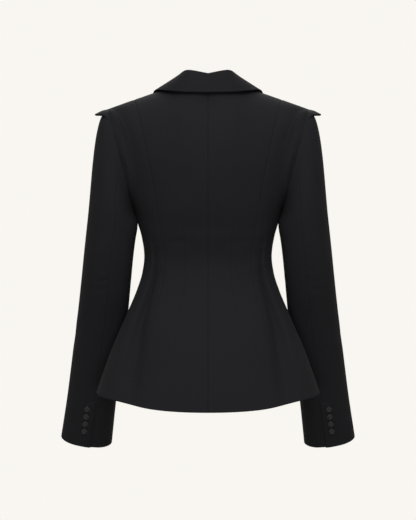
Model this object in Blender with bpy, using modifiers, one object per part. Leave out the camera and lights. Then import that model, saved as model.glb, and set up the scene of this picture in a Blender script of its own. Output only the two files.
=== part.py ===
"""Fitted black blazer in its worn, hollow form: eight body panels, two-piece sleeves, a turned collar,
lapels, pointed wings over the sleeve heads, and buttons.

Metres, +Z up. The wearer faces -Y, so the back is at +Y and the wearer's left side at +X.
The origin lies on the shoulder line, midway between the two shoulder seams.
"""

import math

import bmesh
import bpy
import numpy as np
from mathutils import Vector

# Cloth and seams
CLOTH = 0.0020
COLLAR_CLOTH = 0.0022
LAPEL_CLOTH = 0.0022
WING_CLOTH = 0.0022
SEAM_GAP = 0.0003
LAY_GAP = 0.0006

# Body: heights of the armhole's lowest point and of the hem, and the seams as angles round the body,
# counted from the centre back (0) past the side seam (90) to the centre front (180)
ARMPIT_Z = -0.207
HEM_SIDE_Z = -0.552
HEM_BACK_DROP = 0.028
HEM_FRONT_DROP = 0.020
BACK_PRINCESS = 41.0
SIDE_SEAM = 90.0
FRONT_PRINCESS = 140.0
CENTRE_FRONT = 180.0
BACK_ROUND = 2.2
FRONT_ROUND = 2.15

# Corners of the upper edge: side of the neck, and both sides of the shoulder's end
NECK_ANGLE = 27.0
BACK_SHOULDER_ANGLE = 53.0
FRONT_SHOULDER_ANGLE = 127.0
RISE_PULL = 1.5

# Front: the lap past the centre, the height where the lapel breaks, how far the roll line leans
# outwards for its height, where its line meets the shoulder, and the spacing of the two laps
FRONT_LAP = 0.018
BREAK_Z = -0.270
ROLL_LEAN = 0.226
NECK_END = np.array((0.0715, -0.0025, 0.0262))
NECK_PULL = np.array((0.110, 0.140, 0.170))
LAP_OFFSET = 0.0019
LAP_EASE = (0.022, 0.050)

# Columns: height, half width, where along Y the section is widest, centre back and centre front along Y
BODY_SECTIONS = np.array((
    (-0.620, 0.236, 0.042, 0.163, -0.143),
    (-0.552, 0.212, 0.036, 0.150, -0.133),
    (-0.473, 0.184, 0.030, 0.132, -0.124),
    (-0.404, 0.154, 0.024, 0.112, -0.116),
    (-0.355, 0.1335, 0.016, 0.093, -0.110),
    (-0.325, 0.1245, 0.011, 0.082, -0.106),
    (-0.296, 0.121, 0.008, 0.077, -0.105),
    (-0.251, 0.127, 0.006, 0.083, -0.122),
    (-0.207, 0.139, 0.004, 0.096, -0.136),
    (-0.180, 0.144, 0.003, 0.102, -0.138),
))

# Soft flutes of the flared skirt. Columns: angle round the body, share of the flute depth, outwards
FLUTE_DEPTH = 0.0065
FLUTE_TOP_Z = -0.330
FLUTES = np.array((
    (0.0, 0.1),
    (22.0, 0.7),
    (44.0, -1.0),
    (66.0, 0.8),
    (90.0, -0.2),
    (114.0, 0.7),
    (140.0, -0.8),
    (160.0, 0.3),
    (180.0, 0.0),
    (200.0, 0.0),
))

# Upper edge of the back and side panels: the neckline, the shoulder and the armhole.
# Columns: angle round the body, the point there, and the pull with which the cloth arrives at it
TOP_EDGE = np.array((
    (-10.0, -0.031, 0.0560, 0.0175, 0.0, -0.093, 0.135),
    (0.0, 0.0, 0.060, 0.016, 0.0, -0.085, 0.170),
    (10.0, 0.031, 0.0560, 0.0175, 0.0, -0.093, 0.135),
    (19.0, 0.055, 0.0390, 0.0205, 0.0, -0.118, 0.085),
    (27.0, 0.072, 0.0, 0.0265, 0.0, -0.190, 0.030),
    (41.0, 0.13986, 0.0, 0.00243, 0.0, -0.205, 0.0),
    (53.0, 0.189, 0.0, -0.015, 0.0943, -0.165, -0.0335),
    (54.5, 0.1878, 0.019, -0.0220, 0.080, -0.080, -0.020),
    (57.0, 0.1800, 0.041, -0.053, 0.060, -0.038, 0.010),
    (60.5, 0.1705, 0.053, -0.088, 0.046, -0.024, 0.018),
    (65.0, 0.1605, 0.055, -0.125, 0.031, -0.012, 0.024),
    (70.0, 0.1520, 0.049, -0.160, 0.017, -0.007, 0.024),
    (76.0, 0.1455, 0.034, -0.186, 0.012, -0.003, 0.020),
    (84.0, 0.1405, 0.0155, -0.203, 0.004, -0.001, 0.014),
    (90.0, 0.139, 0.004, -0.207, 0.003, 0.0, 0.012),
    (96.0, 0.1403, -0.0095, -0.203, 0.004, 0.001, 0.014),
    (104.0, 0.1445, -0.030, -0.187, 0.012, 0.003, 0.020),
    (110.0, 0.1505, -0.046, -0.160, 0.026, 0.007, 0.024),
    (115.0, 0.1575, -0.054, -0.125, 0.042, 0.018, 0.024),
    (119.5, 0.1670, -0.052, -0.088, 0.050, 0.040, 0.018),
    (123.0, 0.1775, -0.041, -0.053, 0.060, 0.062, 0.010),
    (125.5, 0.1870, -0.019, -0.0220, 0.083, 0.108, -0.020),
    (127.0, 0.189, 0.0, -0.015, 0.0943, 0.160, -0.0335),
    (140.0, 0.13986, 0.0, 0.00243, 0.0, 0.170, 0.0),
))
TOP_CORNERS = (-10.0, NECK_ANGLE, BACK_SHOULDER_ANGLE, FRONT_SHOULDER_ANGLE, FRONT_PRINCESS)

# Sleeve axis from cuff to biceps. Columns: centre, half width across, half depth front to back
SLEEVE_SECTIONS = np.array((
    (0.2380, -0.129, -0.652, 0.0500, 0.0400),
    (0.2265, -0.101, -0.572, 0.0478, 0.0440),
    (0.2140, -0.071, -0.482, 0.0472, 0.0480),
    (0.2030, -0.045, -0.405, 0.0470, 0.0515),
    (0.1955, -0.022, -0.340, 0.0462, 0.0545),
    (0.1890, -0.007, -0.282, 0.0460, 0.0575),
    (0.1822, 0.001, -0.228, 0.0465, 0.0600),
))
SLEEVE_ROUND = 2.15
SLEEVE_RISE = 1.15
SLEEVE_CLEAR = 0.0005
BACK_ARM_SEAM = 98.0
FRONT_ARM_SEAM = 250.0
WHOLE_TURN = 360.0

# Where the back half of the sleeve meets the armhole; the front half mirrors it.
# Columns: angle round the sleeve, angle round the body
ARMHOLE_TURN = np.array((
    (0.0, BACK_SHOULDER_ANGLE),
    (20.0, 54.5),
    (45.0, 57.3),
    (72.0, 60.8),
    (98.0, 65.0),
    (125.0, 70.5),
    (152.0, 78.0),
    (180.0, SIDE_SEAM),
))

# How the sleeve's cloth arrives at the armhole. Columns: angle round the sleeve, pull
SLEEVE_HEAD = np.array((
    (0.0, -0.085, 0.000, 0.010),
    (45.0, -0.070, -0.012, 0.020),
    (95.0, -0.045, -0.006, 0.050),
    (140.0, -0.012, 0.000, 0.030),
    (180.0, -0.001, 0.000, 0.012),
    (220.0, -0.012, 0.000, 0.030),
    (265.0, -0.045, 0.006, 0.050),
    (315.0, -0.070, 0.012, 0.020),
    (360.0, -0.085, 0.000, 0.010),
))

# Wing over the sleeve head: reach past the armhole seam, spread round it to each side of the top,
# how fast it narrows towards its ends, and its slope at the top
WING_REACH = 0.0275
WING_END_REACH = 0.0015
WING_SPREAD = 42.0
WING_TAPER = 2.4
WING_SLOPE = math.radians(-27.0)
WING_LIFT = 0.0008

# Collar sections behind the shoulder.
# Columns: place along the half collar, angle of the neckline that it is sewn to, fold, outer edge
COLLAR_BACK = (
    (0.00, 0.0, (0.000, 0.0535, 0.0485), (0.000, 0.0730, 0.0120)),
    (0.17, 10.0, (0.0335, 0.0465, 0.0552), (0.046, 0.0640, 0.0135)),
    (0.34, 19.0, (0.0455, 0.0300, 0.0540), (0.0805, 0.0360, 0.0185)),
    (0.52, 26.6, (0.0505, 0.0020, 0.0470), (0.1005, 0.0030, 0.0210)),
)
# Collar sections on the front. Columns: place along the half collar, fold and outer edge as distances
# across the front from its edge and down from the shoulder seam, and the lift of the fold
COLLAR_FRONT = (
    (0.76, (-0.004, 0.032), (0.052, 0.036), 0.0110),
    (1.00, (0.001, 0.064), (0.066, 0.070), 0.0060),
)
COLLAR_NOTCH = (0.040, 0.0785)
COLLAR_NOTCH_SHARE = 0.62
COLLAR_EDGE_LIFT = 0.0042
COLLAR_FOLD_RADIUS = 0.0047
COLLAR_FRONT_TURN = math.radians(45.0)
COLLAR_BULGE = 0.0010
STAND_SHARES = np.array(((0.0,), (0.5,)))

# Lapels: paths of the roll line and ends of the outer edge, as distances across and down a front.
# The lapel of the front that laps under stops where the other front covers it.
LAPEL_CORNER = (0.0760, 0.0930)
LAPEL_BELLY = 0.0045
UPPER_ROLL = ((0.0010, 0.3200), (0.0010, 0.0665))
UPPER_TIP = (0.0050, 0.3180)
UNDER_ROLL = ((0.0160, 0.2840), (0.0015, 0.2570), (0.0010, 0.0665))
UNDER_TIP = (0.0200, 0.2820)

# Buttons. Profile columns: share of the radius, share of the thickness
CUFF_BUTTON_RADIUS = 0.0058
CUFF_BUTTON_PITCH = 0.0159
CUFF_BUTTON_FIRST = 0.0340
CUFF_BUTTON_INSET = 0.0110
CUFF_BUTTONS = 4
FRONT_BUTTON_RADIUS = 0.0105
FRONT_BUTTON_Z = -0.286
FRONT_BUTTON_LIFT = 0.0028
BUTTON_THICKNESS_SHARE = 0.40
BUTTON_SIDES = 14
BUTTON_PROFILE = (
    (0.00, 0.60),
    (0.55, 0.60),
    (0.72, 0.92),
    (0.86, 1.00),
    (1.00, 0.66),
    (0.96, 0.30),
    (0.60, 0.00),
    (0.00, 0.00),
)

# Mesh density: lines along each piece, as angles, and rows across them.
# The side panels and the sleeve share the lines that meet at the armhole.
BODY_ROWS = 24
SLEEVE_ROWS = 18
CENTRE_BACK_LINES = (0.0, 5.5, 11.0, 16.0, 20.5, 24.0, NECK_ANGLE, 34.0, BACK_PRINCESS)
BACK_SHOULDER_LINES = (BACK_PRINCESS, 47.0)
FRONT_SHOULDER_LINES = (133.5, FRONT_PRINCESS)
BACK_ARM_LINES = (0.0, 17.0, 39.0, 68.0, BACK_ARM_SEAM, 127.0, 156.0, 180.0)
FRONT_ARM_LINES = (180.0, 204.0, 227.0, FRONT_ARM_SEAM, 277.0, 302.0, 321.0, 343.0, 360.0)
FRONT_LINES = 8
COLLAR_STATIONS = 12
FALL_POINTS = 5
FOLD_POINTS = 5
LAPEL_ROWS = 10
LAPEL_COLUMNS = 4
WING_STATIONS = 14
WING_COLUMNS = 3
RIB_SAMPLES = 90
TOP_CROWDING = 1.3
NUDGE = 1e-4
MERGE_DISTANCE = 1e-5
SHARP_ANGLE = math.radians(50.0)

WOOL_COLOUR = (0.012, 0.012, 0.013, 1.0)
WOOL_ROUGHNESS = 0.85
BUTTON_COLOUR = (0.018, 0.018, 0.019, 1.0)
BUTTON_ROUGHNESS = 0.35

MIRROR = np.array((-1.0, 1.0, 1.0))
UNDER_LAP = -1
OVER_LAP = 1


def unit(vectors):
    return vectors / np.maximum(np.linalg.norm(vectors, axis=-1, keepdims=True), 1e-12)


def hermite(share, start, start_pull, end, end_pull):
    square = share * share
    cube = square * share
    return (
        (2 * cube - 3 * square + 1) * start
        + (cube - 2 * square + share) * start_pull
        + (3 * square - 2 * cube) * end
        + (cube - square) * end_pull
    )


def smooth(at, xs, ys):
    """Cubic curve through the points (xs, ys) that never overshoots them; ys may hold vectors."""
    flat = ys.reshape(len(xs), -1)
    steps = np.diff(xs)
    slopes = np.diff(flat, axis=0) / steps[:, None]
    product = slopes[:-1] * slopes[1:]
    mean = 2 * product / np.where(product > 0, slopes[:-1] + slopes[1:], 1.0)
    middle = np.where(product > 0, mean, 0.0)
    tangents = np.concatenate([slopes[:1], middle, slopes[-1:]])
    at = np.clip(np.asarray(at, float), xs[0], xs[-1])
    i = np.clip(np.searchsorted(xs, at, side="right") - 1, 0, len(steps) - 1)
    width = steps[i][..., None]
    share = (at - xs[i])[..., None] / width
    curve = hermite(share, flat[i], tangents[i] * width, flat[i + 1], tangents[i + 1] * width)
    return curve.reshape(at.shape + ys.shape[1:])


def rounded(at, xs, ys):
    """Cubic curve through the points (xs, ys), each tangent set by the two neighbours."""
    tangents = np.gradient(ys, xs, axis=0)
    i = np.clip(np.searchsorted(xs, at, side="right") - 1, 0, len(xs) - 2)
    ends = (slice(None),) + (None,) * (ys.ndim - 1)
    width = (xs[i + 1] - xs[i])[ends]
    share = (at - xs[i])[ends] / width
    return hermite(share, ys[i], tangents[i] * width, ys[i + 1], tangents[i + 1] * width)


def ease(value, low, high):
    share = np.clip((value - low) / (high - low), 0.0, 1.0)
    return share * share * (3 - 2 * share)


def length_of(line):
    return np.linalg.norm(np.diff(line, axis=0), axis=1).sum()


def along(line, shares):
    """Points at these shares of the line's length."""
    lengths = np.concatenate(([0.0], np.cumsum(np.linalg.norm(np.diff(line, axis=0), axis=1))))
    return np.stack([np.interp(shares, lengths / lengths[-1], column) for column in line.T], axis=-1)


# Body surface

def body_point(angle, z):
    """Points of the cloth's outer face at these angles round the body and these heights."""
    sizes = smooth(z, BODY_SECTIONS[:, 0], BODY_SECTIONS[:, 1:])
    half, widest, back, front = np.moveaxis(sizes, -1, 0)
    angle = np.broadcast_to(angle, np.shape(z))
    sine, cosine = np.sin(np.radians(angle)), np.cos(np.radians(angle))
    power = 2 / np.where(cosine > 0, BACK_ROUND, FRONT_ROUND)
    reach = np.where(cosine > 0, back - widest, widest - front)
    across = half * np.sign(sine) * np.abs(sine) ** power
    deep = reach * np.sign(cosine) * np.abs(cosine) ** power
    grow = ease(FLUTE_TOP_Z - z, 0.0, FLUTE_TOP_Z - HEM_SIDE_Z)
    flute = FLUTE_DEPTH * grow * smooth(angle, FLUTES[:, 0], FLUTES[:, 1])
    out = unit(np.stack([across, deep], axis=-1))
    return np.stack([across + flute * out[..., 0], widest + deep + flute * out[..., 1], z], axis=-1)


def hem_z(angle):
    """Height of the hem, which dips towards the centre back and the centre front."""
    cosine = math.cos(math.radians(angle))
    drop = HEM_BACK_DROP if cosine > 0 else HEM_FRONT_DROP
    return HEM_SIDE_Z - drop * cosine * cosine


def top_edge(angle):
    """(point, pull) of the upper edge at this angle, with corners kept at the neck and the shoulder."""
    low = max(corner for corner in TOP_CORNERS[:-1] if corner <= angle)
    high = min(corner for corner in TOP_CORNERS[1:] if corner > low and corner >= angle)
    rows = TOP_EDGE[(TOP_EDGE[:, 0] >= low) & (TOP_EDGE[:, 0] <= high)]
    point = rounded(np.array([angle]), rows[:, 0], rows[:, 1:4])[0]
    return point, smooth(angle, TOP_EDGE[:, 0], TOP_EDGE[:, 4:])


def rise(lower, point, pull):
    """Adds a rib's upper stretch, which leaves the lower one smoothly and arrives with the given pull."""
    climb = point[2] - ARMPIT_Z
    if climb < NUDGE:
        return lower
    direction = lower[-1] - lower[-2]
    start_pull = direction / direction[2] * RISE_PULL * climb
    share = np.linspace(0, 1, RIB_SAMPLES)[1:, None]
    return np.concatenate([lower, hermite(share, lower[-1], start_pull, point, pull)])


def body_rib(angle):
    """Line on the body from the hem up to the upper edge, at one angle."""
    z = np.linspace(hem_z(angle), ARMPIT_Z, RIB_SAMPLES)
    return rise(body_point(angle, z), *top_edge(angle))


def edge_angle(z):
    """Angle of a front's edge: the lap below the lapel's break, and the roll line above it."""
    half = smooth(z, BODY_SECTIONS[:, 0], BODY_SECTIONS[:, 1])
    x = -FRONT_LAP + ROLL_LEAN * np.maximum(z - BREAK_Z, 0.0)
    return CENTRE_FRONT - np.degrees(np.arcsin(np.sign(x) * (np.abs(x) / half) ** (FRONT_ROUND / 2)))


def front_rib(share, lap):
    """Line on a front from the hem to the shoulder; share runs from the princess seam to the edge."""
    hem_angle = FRONT_PRINCESS + share * (edge_angle(np.array(HEM_SIDE_Z)) - FRONT_PRINCESS)
    z = np.linspace(hem_z(hem_angle), ARMPIT_Z, RIB_SAMPLES)
    lower = body_point(FRONT_PRINCESS + share * (edge_angle(z) - FRONT_PRINCESS), z)
    lower[:, 1] -= LAP_OFFSET * lap * (1 - ease(lower[:, 0], *LAP_EASE))
    princess, princess_pull = top_edge(FRONT_PRINCESS)
    point = princess + share * (NECK_END - princess)
    return rise(lower, point, princess_pull + share * (NECK_PULL - princess_pull))


# Panels as grids of points with their normals

def crowded(rows):
    """Row places from hem to top, closer together near the shoulder."""
    return 1 - (1 - np.linspace(0, 1, rows + 1)) ** TOP_CROWDING


def panel_grid(rib, places, rows, sewn_sides):
    """[points, normals] of a panel; rib(place) gives its lines. Each sewn side leaves half a seam."""
    shares = crowded(rows)
    low, high = min(places), max(places)
    nudge = NUDGE * (high - low) * np.sign(places[-1] - places[0])
    points, across, up = [], [], []
    for place in places:
        line = rib(place)
        points.append(along(line, shares))
        before, after = np.clip((place - nudge, place + nudge), low, high)
        across.append(along(rib(after), shares) - along(rib(before), shares))
        up.append(along(line, np.minimum(shares + NUDGE, 1.0)) - along(line, np.maximum(shares - NUDGE, 0.0)))
    points, across, up = np.array(points), unit(np.array(across)), unit(np.array(up))
    half = SEAM_GAP / 2
    if "start" in sewn_sides:
        points[0] += half * across[0]
    if "end" in sewn_sides:
        points[-1] -= half * across[-1]
    normals = unit(np.cross(up, across))
    if "top" in sewn_sides:
        on_shoulder = np.abs(points[:, -1, 1]) < SEAM_GAP
        normals[on_shoulder, -1] = unit(normals[on_shoulder, -1] * (1.0, 0.0, 1.0))
        points[:, -1] -= SEAM_GAP * up[:, -1]
    return [points, normals]


def body_turn(sleeve_angle):
    """Angle round the body of the armhole point that meets this angle round the sleeve."""
    half_turn = min(sleeve_angle, WHOLE_TURN - sleeve_angle)
    turn = float(smooth(half_turn, ARMHOLE_TURN[:, 0], ARMHOLE_TURN[:, 1]))
    return turn if half_turn == sleeve_angle else 2 * SIDE_SEAM - turn


def body_panels():
    """The four panels of one half of the body, without its front edge's lap, by name."""
    side_back = BACK_SHOULDER_LINES + tuple(body_turn(angle) for angle in BACK_ARM_LINES)
    side_front = tuple(body_turn(angle) for angle in FRONT_ARM_LINES) + FRONT_SHOULDER_LINES
    lines = {"centre_back": CENTRE_BACK_LINES, "side_back": side_back, "side_front": side_front}
    sewn = ("start", "end", "top")
    return {name: panel_grid(body_rib, places, BODY_ROWS, sewn) for name, places in lines.items()}


def front_panel(lap):
    def rib(share):
        return front_rib(share, lap)

    return panel_grid(rib, np.linspace(0, 1, FRONT_LINES + 1), BODY_ROWS, ("start", "top"))


def share_seam(panel, neighbour):
    """Gives both sides of a seam the same normals, so that their walls stay apart."""
    panel[1][-1] = unit(panel[1][-1] + neighbour[1][0])
    neighbour[1][0] = panel[1][-1]


# Sleeve surface

def sleeve_rings(angle):
    """Points of the sleeve's rings, from cuff to biceps, at one angle round the arm."""
    centres, half, depth = SLEEVE_SECTIONS[:, :3], SLEEVE_SECTIONS[:, 3:4], SLEEVE_SECTIONS[:, 4:5]
    tangents = unit(np.gradient(centres, axis=0))
    outward = unit(np.array((1.0, 0.0, 0.0)) - tangents[:, :1] * tangents)
    backward = np.cross(tangents, outward)
    cosine, sine = math.cos(math.radians(angle)), math.sin(math.radians(angle))
    power = 2 / SLEEVE_ROUND
    wide = half * math.copysign(abs(cosine) ** power, cosine)
    deep = depth * math.copysign(abs(sine) ** power, sine)
    return centres + wide * outward + deep * backward


def sleeve_rib(angle):
    """Line on the sleeve from the cuff to just short of the armhole seam."""
    angle = angle % WHOLE_TURN
    rings = sleeve_rings(angle)
    steps = np.concatenate(([0.0], np.cumsum(np.linalg.norm(np.diff(rings, axis=0), axis=1))))
    lower = rounded(np.linspace(0, steps[-1], RIB_SAMPLES), steps, rings)
    end = top_edge(body_turn(angle))[0]
    pull = np.array([np.interp(angle, SLEEVE_HEAD[:, 0], column) for column in SLEEVE_HEAD[:, 1:].T])
    start_pull = unit(lower[-1] - lower[-2]) * np.linalg.norm(end - lower[-1]) * SLEEVE_RISE
    share = np.linspace(0, 1, RIB_SAMPLES)[1:, None]
    line = np.concatenate([lower, hermite(share, lower[-1], start_pull, end, pull)])
    return along(line, np.linspace(0, 1 - SLEEVE_CLEAR / length_of(line), 2 * RIB_SAMPLES))


def sleeve_pieces():
    """Top sleeve, over the outside of the arm, and under sleeve, between the same two seams inside it."""
    outer_front = [angle - WHOLE_TURN for angle in FRONT_ARM_LINES if FRONT_ARM_SEAM <= angle < WHOLE_TURN]
    outer_back = [angle for angle in BACK_ARM_LINES if angle <= BACK_ARM_SEAM]
    inner_back = [angle for angle in BACK_ARM_LINES if angle >= BACK_ARM_SEAM]
    inner_front = [angle for angle in FRONT_ARM_LINES[1:] if angle <= FRONT_ARM_SEAM]
    top = panel_grid(sleeve_rib, (outer_front + outer_back)[::-1], SLEEVE_ROWS, ("start", "end"))
    under = panel_grid(sleeve_rib, (inner_back + inner_front)[::-1], SLEEVE_ROWS, ("start", "end"))
    return {"top_sleeve": top, "under_sleeve": under}


# Wing, lapel and collar

def grid_normals(points):
    return unit(np.cross(np.gradient(points, axis=0), np.gradient(points, axis=1)))


def wing():
    """Crescent that starts on the armhole seam and stands out over the sleeve head."""
    flare = np.array((math.cos(WING_SLOPE), 0.0, math.sin(WING_SLOPE)))
    lines = []
    for angle in np.linspace(-WING_SPREAD, WING_SPREAD, WING_STATIONS + 1):
        rib = sleeve_rib(angle)
        on_sleeve = unit(rib[-3] - rib[-1])
        level = math.cos(math.radians(90 * angle / WING_SPREAD))
        reach = WING_END_REACH + (WING_REACH - WING_END_REACH) * level ** WING_TAPER
        direction = unit(on_sleeve * (1 - level**2) + flare * level**2)
        lines.append(rib[-1] + np.linspace(0, reach, WING_COLUMNS + 1)[:, None] * direction)
    base = np.array(lines)
    normals = grid_normals(base)
    normals *= np.sign(normals[WING_STATIONS // 2, 0, 2])
    return base + (WING_LIFT + WING_CLOTH) * normals, normals


def on_front(place, lap):
    """(point, across, normal) on a front, at a (distance across from its edge, down from the shoulder)."""
    distance, down = place
    edge, princess = front_rib(1.0, lap), front_rib(0.0, lap)
    height = 1 - down / length_of(edge)
    width = np.linalg.norm(along(edge, [height]) - along(princess, [height]))
    u = 1 - distance / width

    def at(shift_u, shift_v):
        return along(front_rib(u + shift_u, lap), [height + shift_v])[0]

    across = unit(at(-NUDGE, 0.0) - at(NUDGE, 0.0))
    up = unit(at(0.0, NUDGE) - at(0.0, -NUDGE))
    return at(0.0, 0.0), across, unit(np.cross(across, up))


def lapel(lap, roll, tip):
    """Lapel turned back on its front, from its roll line to its outer edge."""
    roll, tip, corner = np.array(roll), np.array(tip), np.array(LAPEL_CORNER)
    shares = np.linspace(0, 1, LAPEL_ROWS + 1)
    flat_roll = along(np.column_stack([roll, np.zeros(len(roll))]), shares)[:, :2]
    points, normals = [], []
    for share, inner in zip(shares, flat_roll):
        belly = np.array((LAPEL_BELLY * math.sin(math.pi * share), 0.0))
        outer = tip + (corner - tip) * share + belly
        row = [on_front(inner + (outer - inner) * q, lap) for q in np.linspace(0, 1, LAPEL_COLUMNS + 1)]
        points.append([point for point, _, _ in row])
        normals.append([normal for _, _, normal in row])
    normals = np.array(normals)
    return np.array(points) + (LAY_GAP + LAPEL_CLOTH) * normals, normals


def tangent_turn(point, centre, outward, up, side):
    """Where a line from the point meets the round of the fold, as an angle from the outward direction."""
    offset = point - centre
    flat = np.array((offset @ outward, offset @ up))
    return math.atan2(flat[1], flat[0]) + side * math.acos(COLLAR_FOLD_RADIUS / np.linalg.norm(flat))


def fold_arc(centre, outward, up, start, end):
    """Round of the collar's fold, from its neck side over the top to its outer side."""
    turn = np.linspace(start, end, FOLD_POINTS)[:, None]
    return centre + COLLAR_FOLD_RADIUS * (np.cos(turn) * outward + np.sin(turn) * up)


def collar_back_section(neck_angle, fold, edge):
    """Line of the collar's outer face behind the shoulder: neck seam, stand, fold, fall and edge."""
    fold, edge = np.array(fold), np.array(edge)
    seam = top_edge(neck_angle)[0]
    outward = unit((edge - fold) * (1.0, 1.0, 0.0))
    up = np.array((0.0, 0.0, 1.0))
    seam = seam - outward * (COLLAR_CLOTH - SEAM_GAP)
    centre = fold - COLLAR_FOLD_RADIUS * up
    start = tangent_turn(seam, centre, outward, up, -1) + 2 * math.pi
    arc = fold_arc(centre, outward, up, start, tangent_turn(edge, centre, outward, up, 1))
    stand = seam + (arc[0] - seam) * STAND_SHARES
    share = np.linspace(0, 1, FALL_POINTS + 1)[1:, None]
    lifted = unit(np.cross(np.cross(edge - arc[-1], up), edge - arc[-1]))
    fall = arc[-1] + (edge - arc[-1]) * share + COLLAR_BULGE * np.sin(math.pi * share) * np.abs(lifted)
    return np.concatenate([stand, arc, fall])


def collar_front_section(place, fold, edge, lift, lap):
    """The same line on a front, where the fall lies on the panel and the stand runs out."""
    fold, edge, notch = np.array(fold), np.array(edge), np.array(COLLAR_NOTCH)
    point, across, normal = on_front(fold, lap)
    centre = point + (lift - COLLAR_FOLD_RADIUS) * normal
    arc = fold_arc(centre, across, normal, math.pi, COLLAR_FRONT_TURN)
    seam = point - across * COLLAR_FOLD_RADIUS
    stand = seam + (arc[0] - seam) * STAND_SHARES
    fall = []
    for q in np.linspace(0, 1, FALL_POINTS + 1)[1:]:
        spot = fold + (edge - fold) * q
        if place == 1.0 and q <= COLLAR_NOTCH_SHARE:
            spot = fold + (notch - fold) * q / COLLAR_NOTCH_SHARE
        elif place == 1.0:
            spot = notch + (edge - notch) * (q - COLLAR_NOTCH_SHARE) / (1 - COLLAR_NOTCH_SHARE)
        point, _, normal = on_front(spot, lap)
        fall.append(point + normal * (COLLAR_EDGE_LIFT + (lift - COLLAR_EDGE_LIFT) * (1 - q) ** 2))
    return np.concatenate([stand, arc, np.array(fall)])


def half_collar(lap):
    rows = [collar_back_section(*row[1:]) for row in COLLAR_BACK]
    rows += [collar_front_section(*row, lap) for row in COLLAR_FRONT]
    places = np.array([row[0] for row in COLLAR_BACK + COLLAR_FRONT])
    return rounded(np.linspace(0, 1, COLLAR_STATIONS + 1), places, np.array(rows))


def collar():
    """Whole collar from one notch round the neck to the other."""
    left, right = half_collar(UNDER_LAP), half_collar(OVER_LAP) * MIRROR
    points = np.concatenate([right[:0:-1], left])
    normals = grid_normals(points)
    normals *= np.sign(normals[COLLAR_STATIONS, len(STAND_SHARES) + FOLD_POINTS // 2, 2])
    return points, normals


# Objects

def new_material(name, colour, roughness):
    material = bpy.data.materials.new(name)
    material.use_nodes = True
    shader = material.node_tree.nodes["Principled BSDF"]
    shader.inputs["Base Color"].default_value = colour
    shader.inputs["Roughness"].default_value = roughness
    return material


def add_object(name, mesh, material, parts, frame):
    mesh.materials.append(material)
    mesh.shade_smooth()
    mesh.set_sharp_from_angle(angle=SHARP_ANGLE)
    piece = bpy.data.objects.new(name, mesh)
    piece.parent = frame
    parts.objects.link(piece)
    return piece


def wall_mesh(name, outer, normals, thickness):
    """Closed wall between a grid of outer points and the same grid moved in along its normals."""
    mesh = bmesh.new()
    sheets = []
    for grid in (outer, outer - thickness * normals):
        sheets.append([[mesh.verts.new(point) for point in line] for line in grid])
    last_line, last_point = len(outer) - 1, len(outer[0]) - 1
    for sheet in sheets:
        for i in range(last_line):
            for j in range(last_point):
                mesh.faces.new((sheet[i][j], sheet[i + 1][j], sheet[i + 1][j + 1], sheet[i][j + 1]))
    rim = [(i, 0) for i in range(last_line)] + [(last_line, j) for j in range(last_point)]
    rim += [(i, last_point) for i in range(last_line, 0, -1)] + [(0, j) for j in range(last_point, 0, -1)]
    for (i, j), (k, m) in zip(rim, rim[1:] + rim[:1]):
        mesh.faces.new((sheets[0][i][j], sheets[0][k][m], sheets[1][k][m], sheets[1][i][j]))
    bmesh.ops.recalc_face_normals(mesh, faces=mesh.faces)
    made = bpy.data.meshes.new(name)
    mesh.to_mesh(made)
    mesh.free()
    return made


def button_mesh(name, radius):
    """Profile of a dished button, turned by its Screw modifier."""
    made = bpy.data.meshes.new(name)
    thickness = radius * BUTTON_THICKNESS_SHARE
    points = [(r * radius, 0.0, t * thickness) for r, t in BUTTON_PROFILE]
    made.from_pydata(points, [(k, k + 1) for k in range(len(points) - 1)], [])
    return made


def add_button(name, point, normal, radius, material, parts, frame):
    button = add_object(name, button_mesh(name, radius), material, parts, frame)
    button.location = point + normal * SEAM_GAP
    button.rotation_euler = Vector(normal).to_track_quat("Z", "Y").to_euler()
    turned = button.modifiers.new("turned", "SCREW")
    turned.steps = turned.render_steps = BUTTON_SIDES
    turned.use_merge_vertices = True
    turned.merge_threshold = MERGE_DISTANCE
    return button


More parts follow.
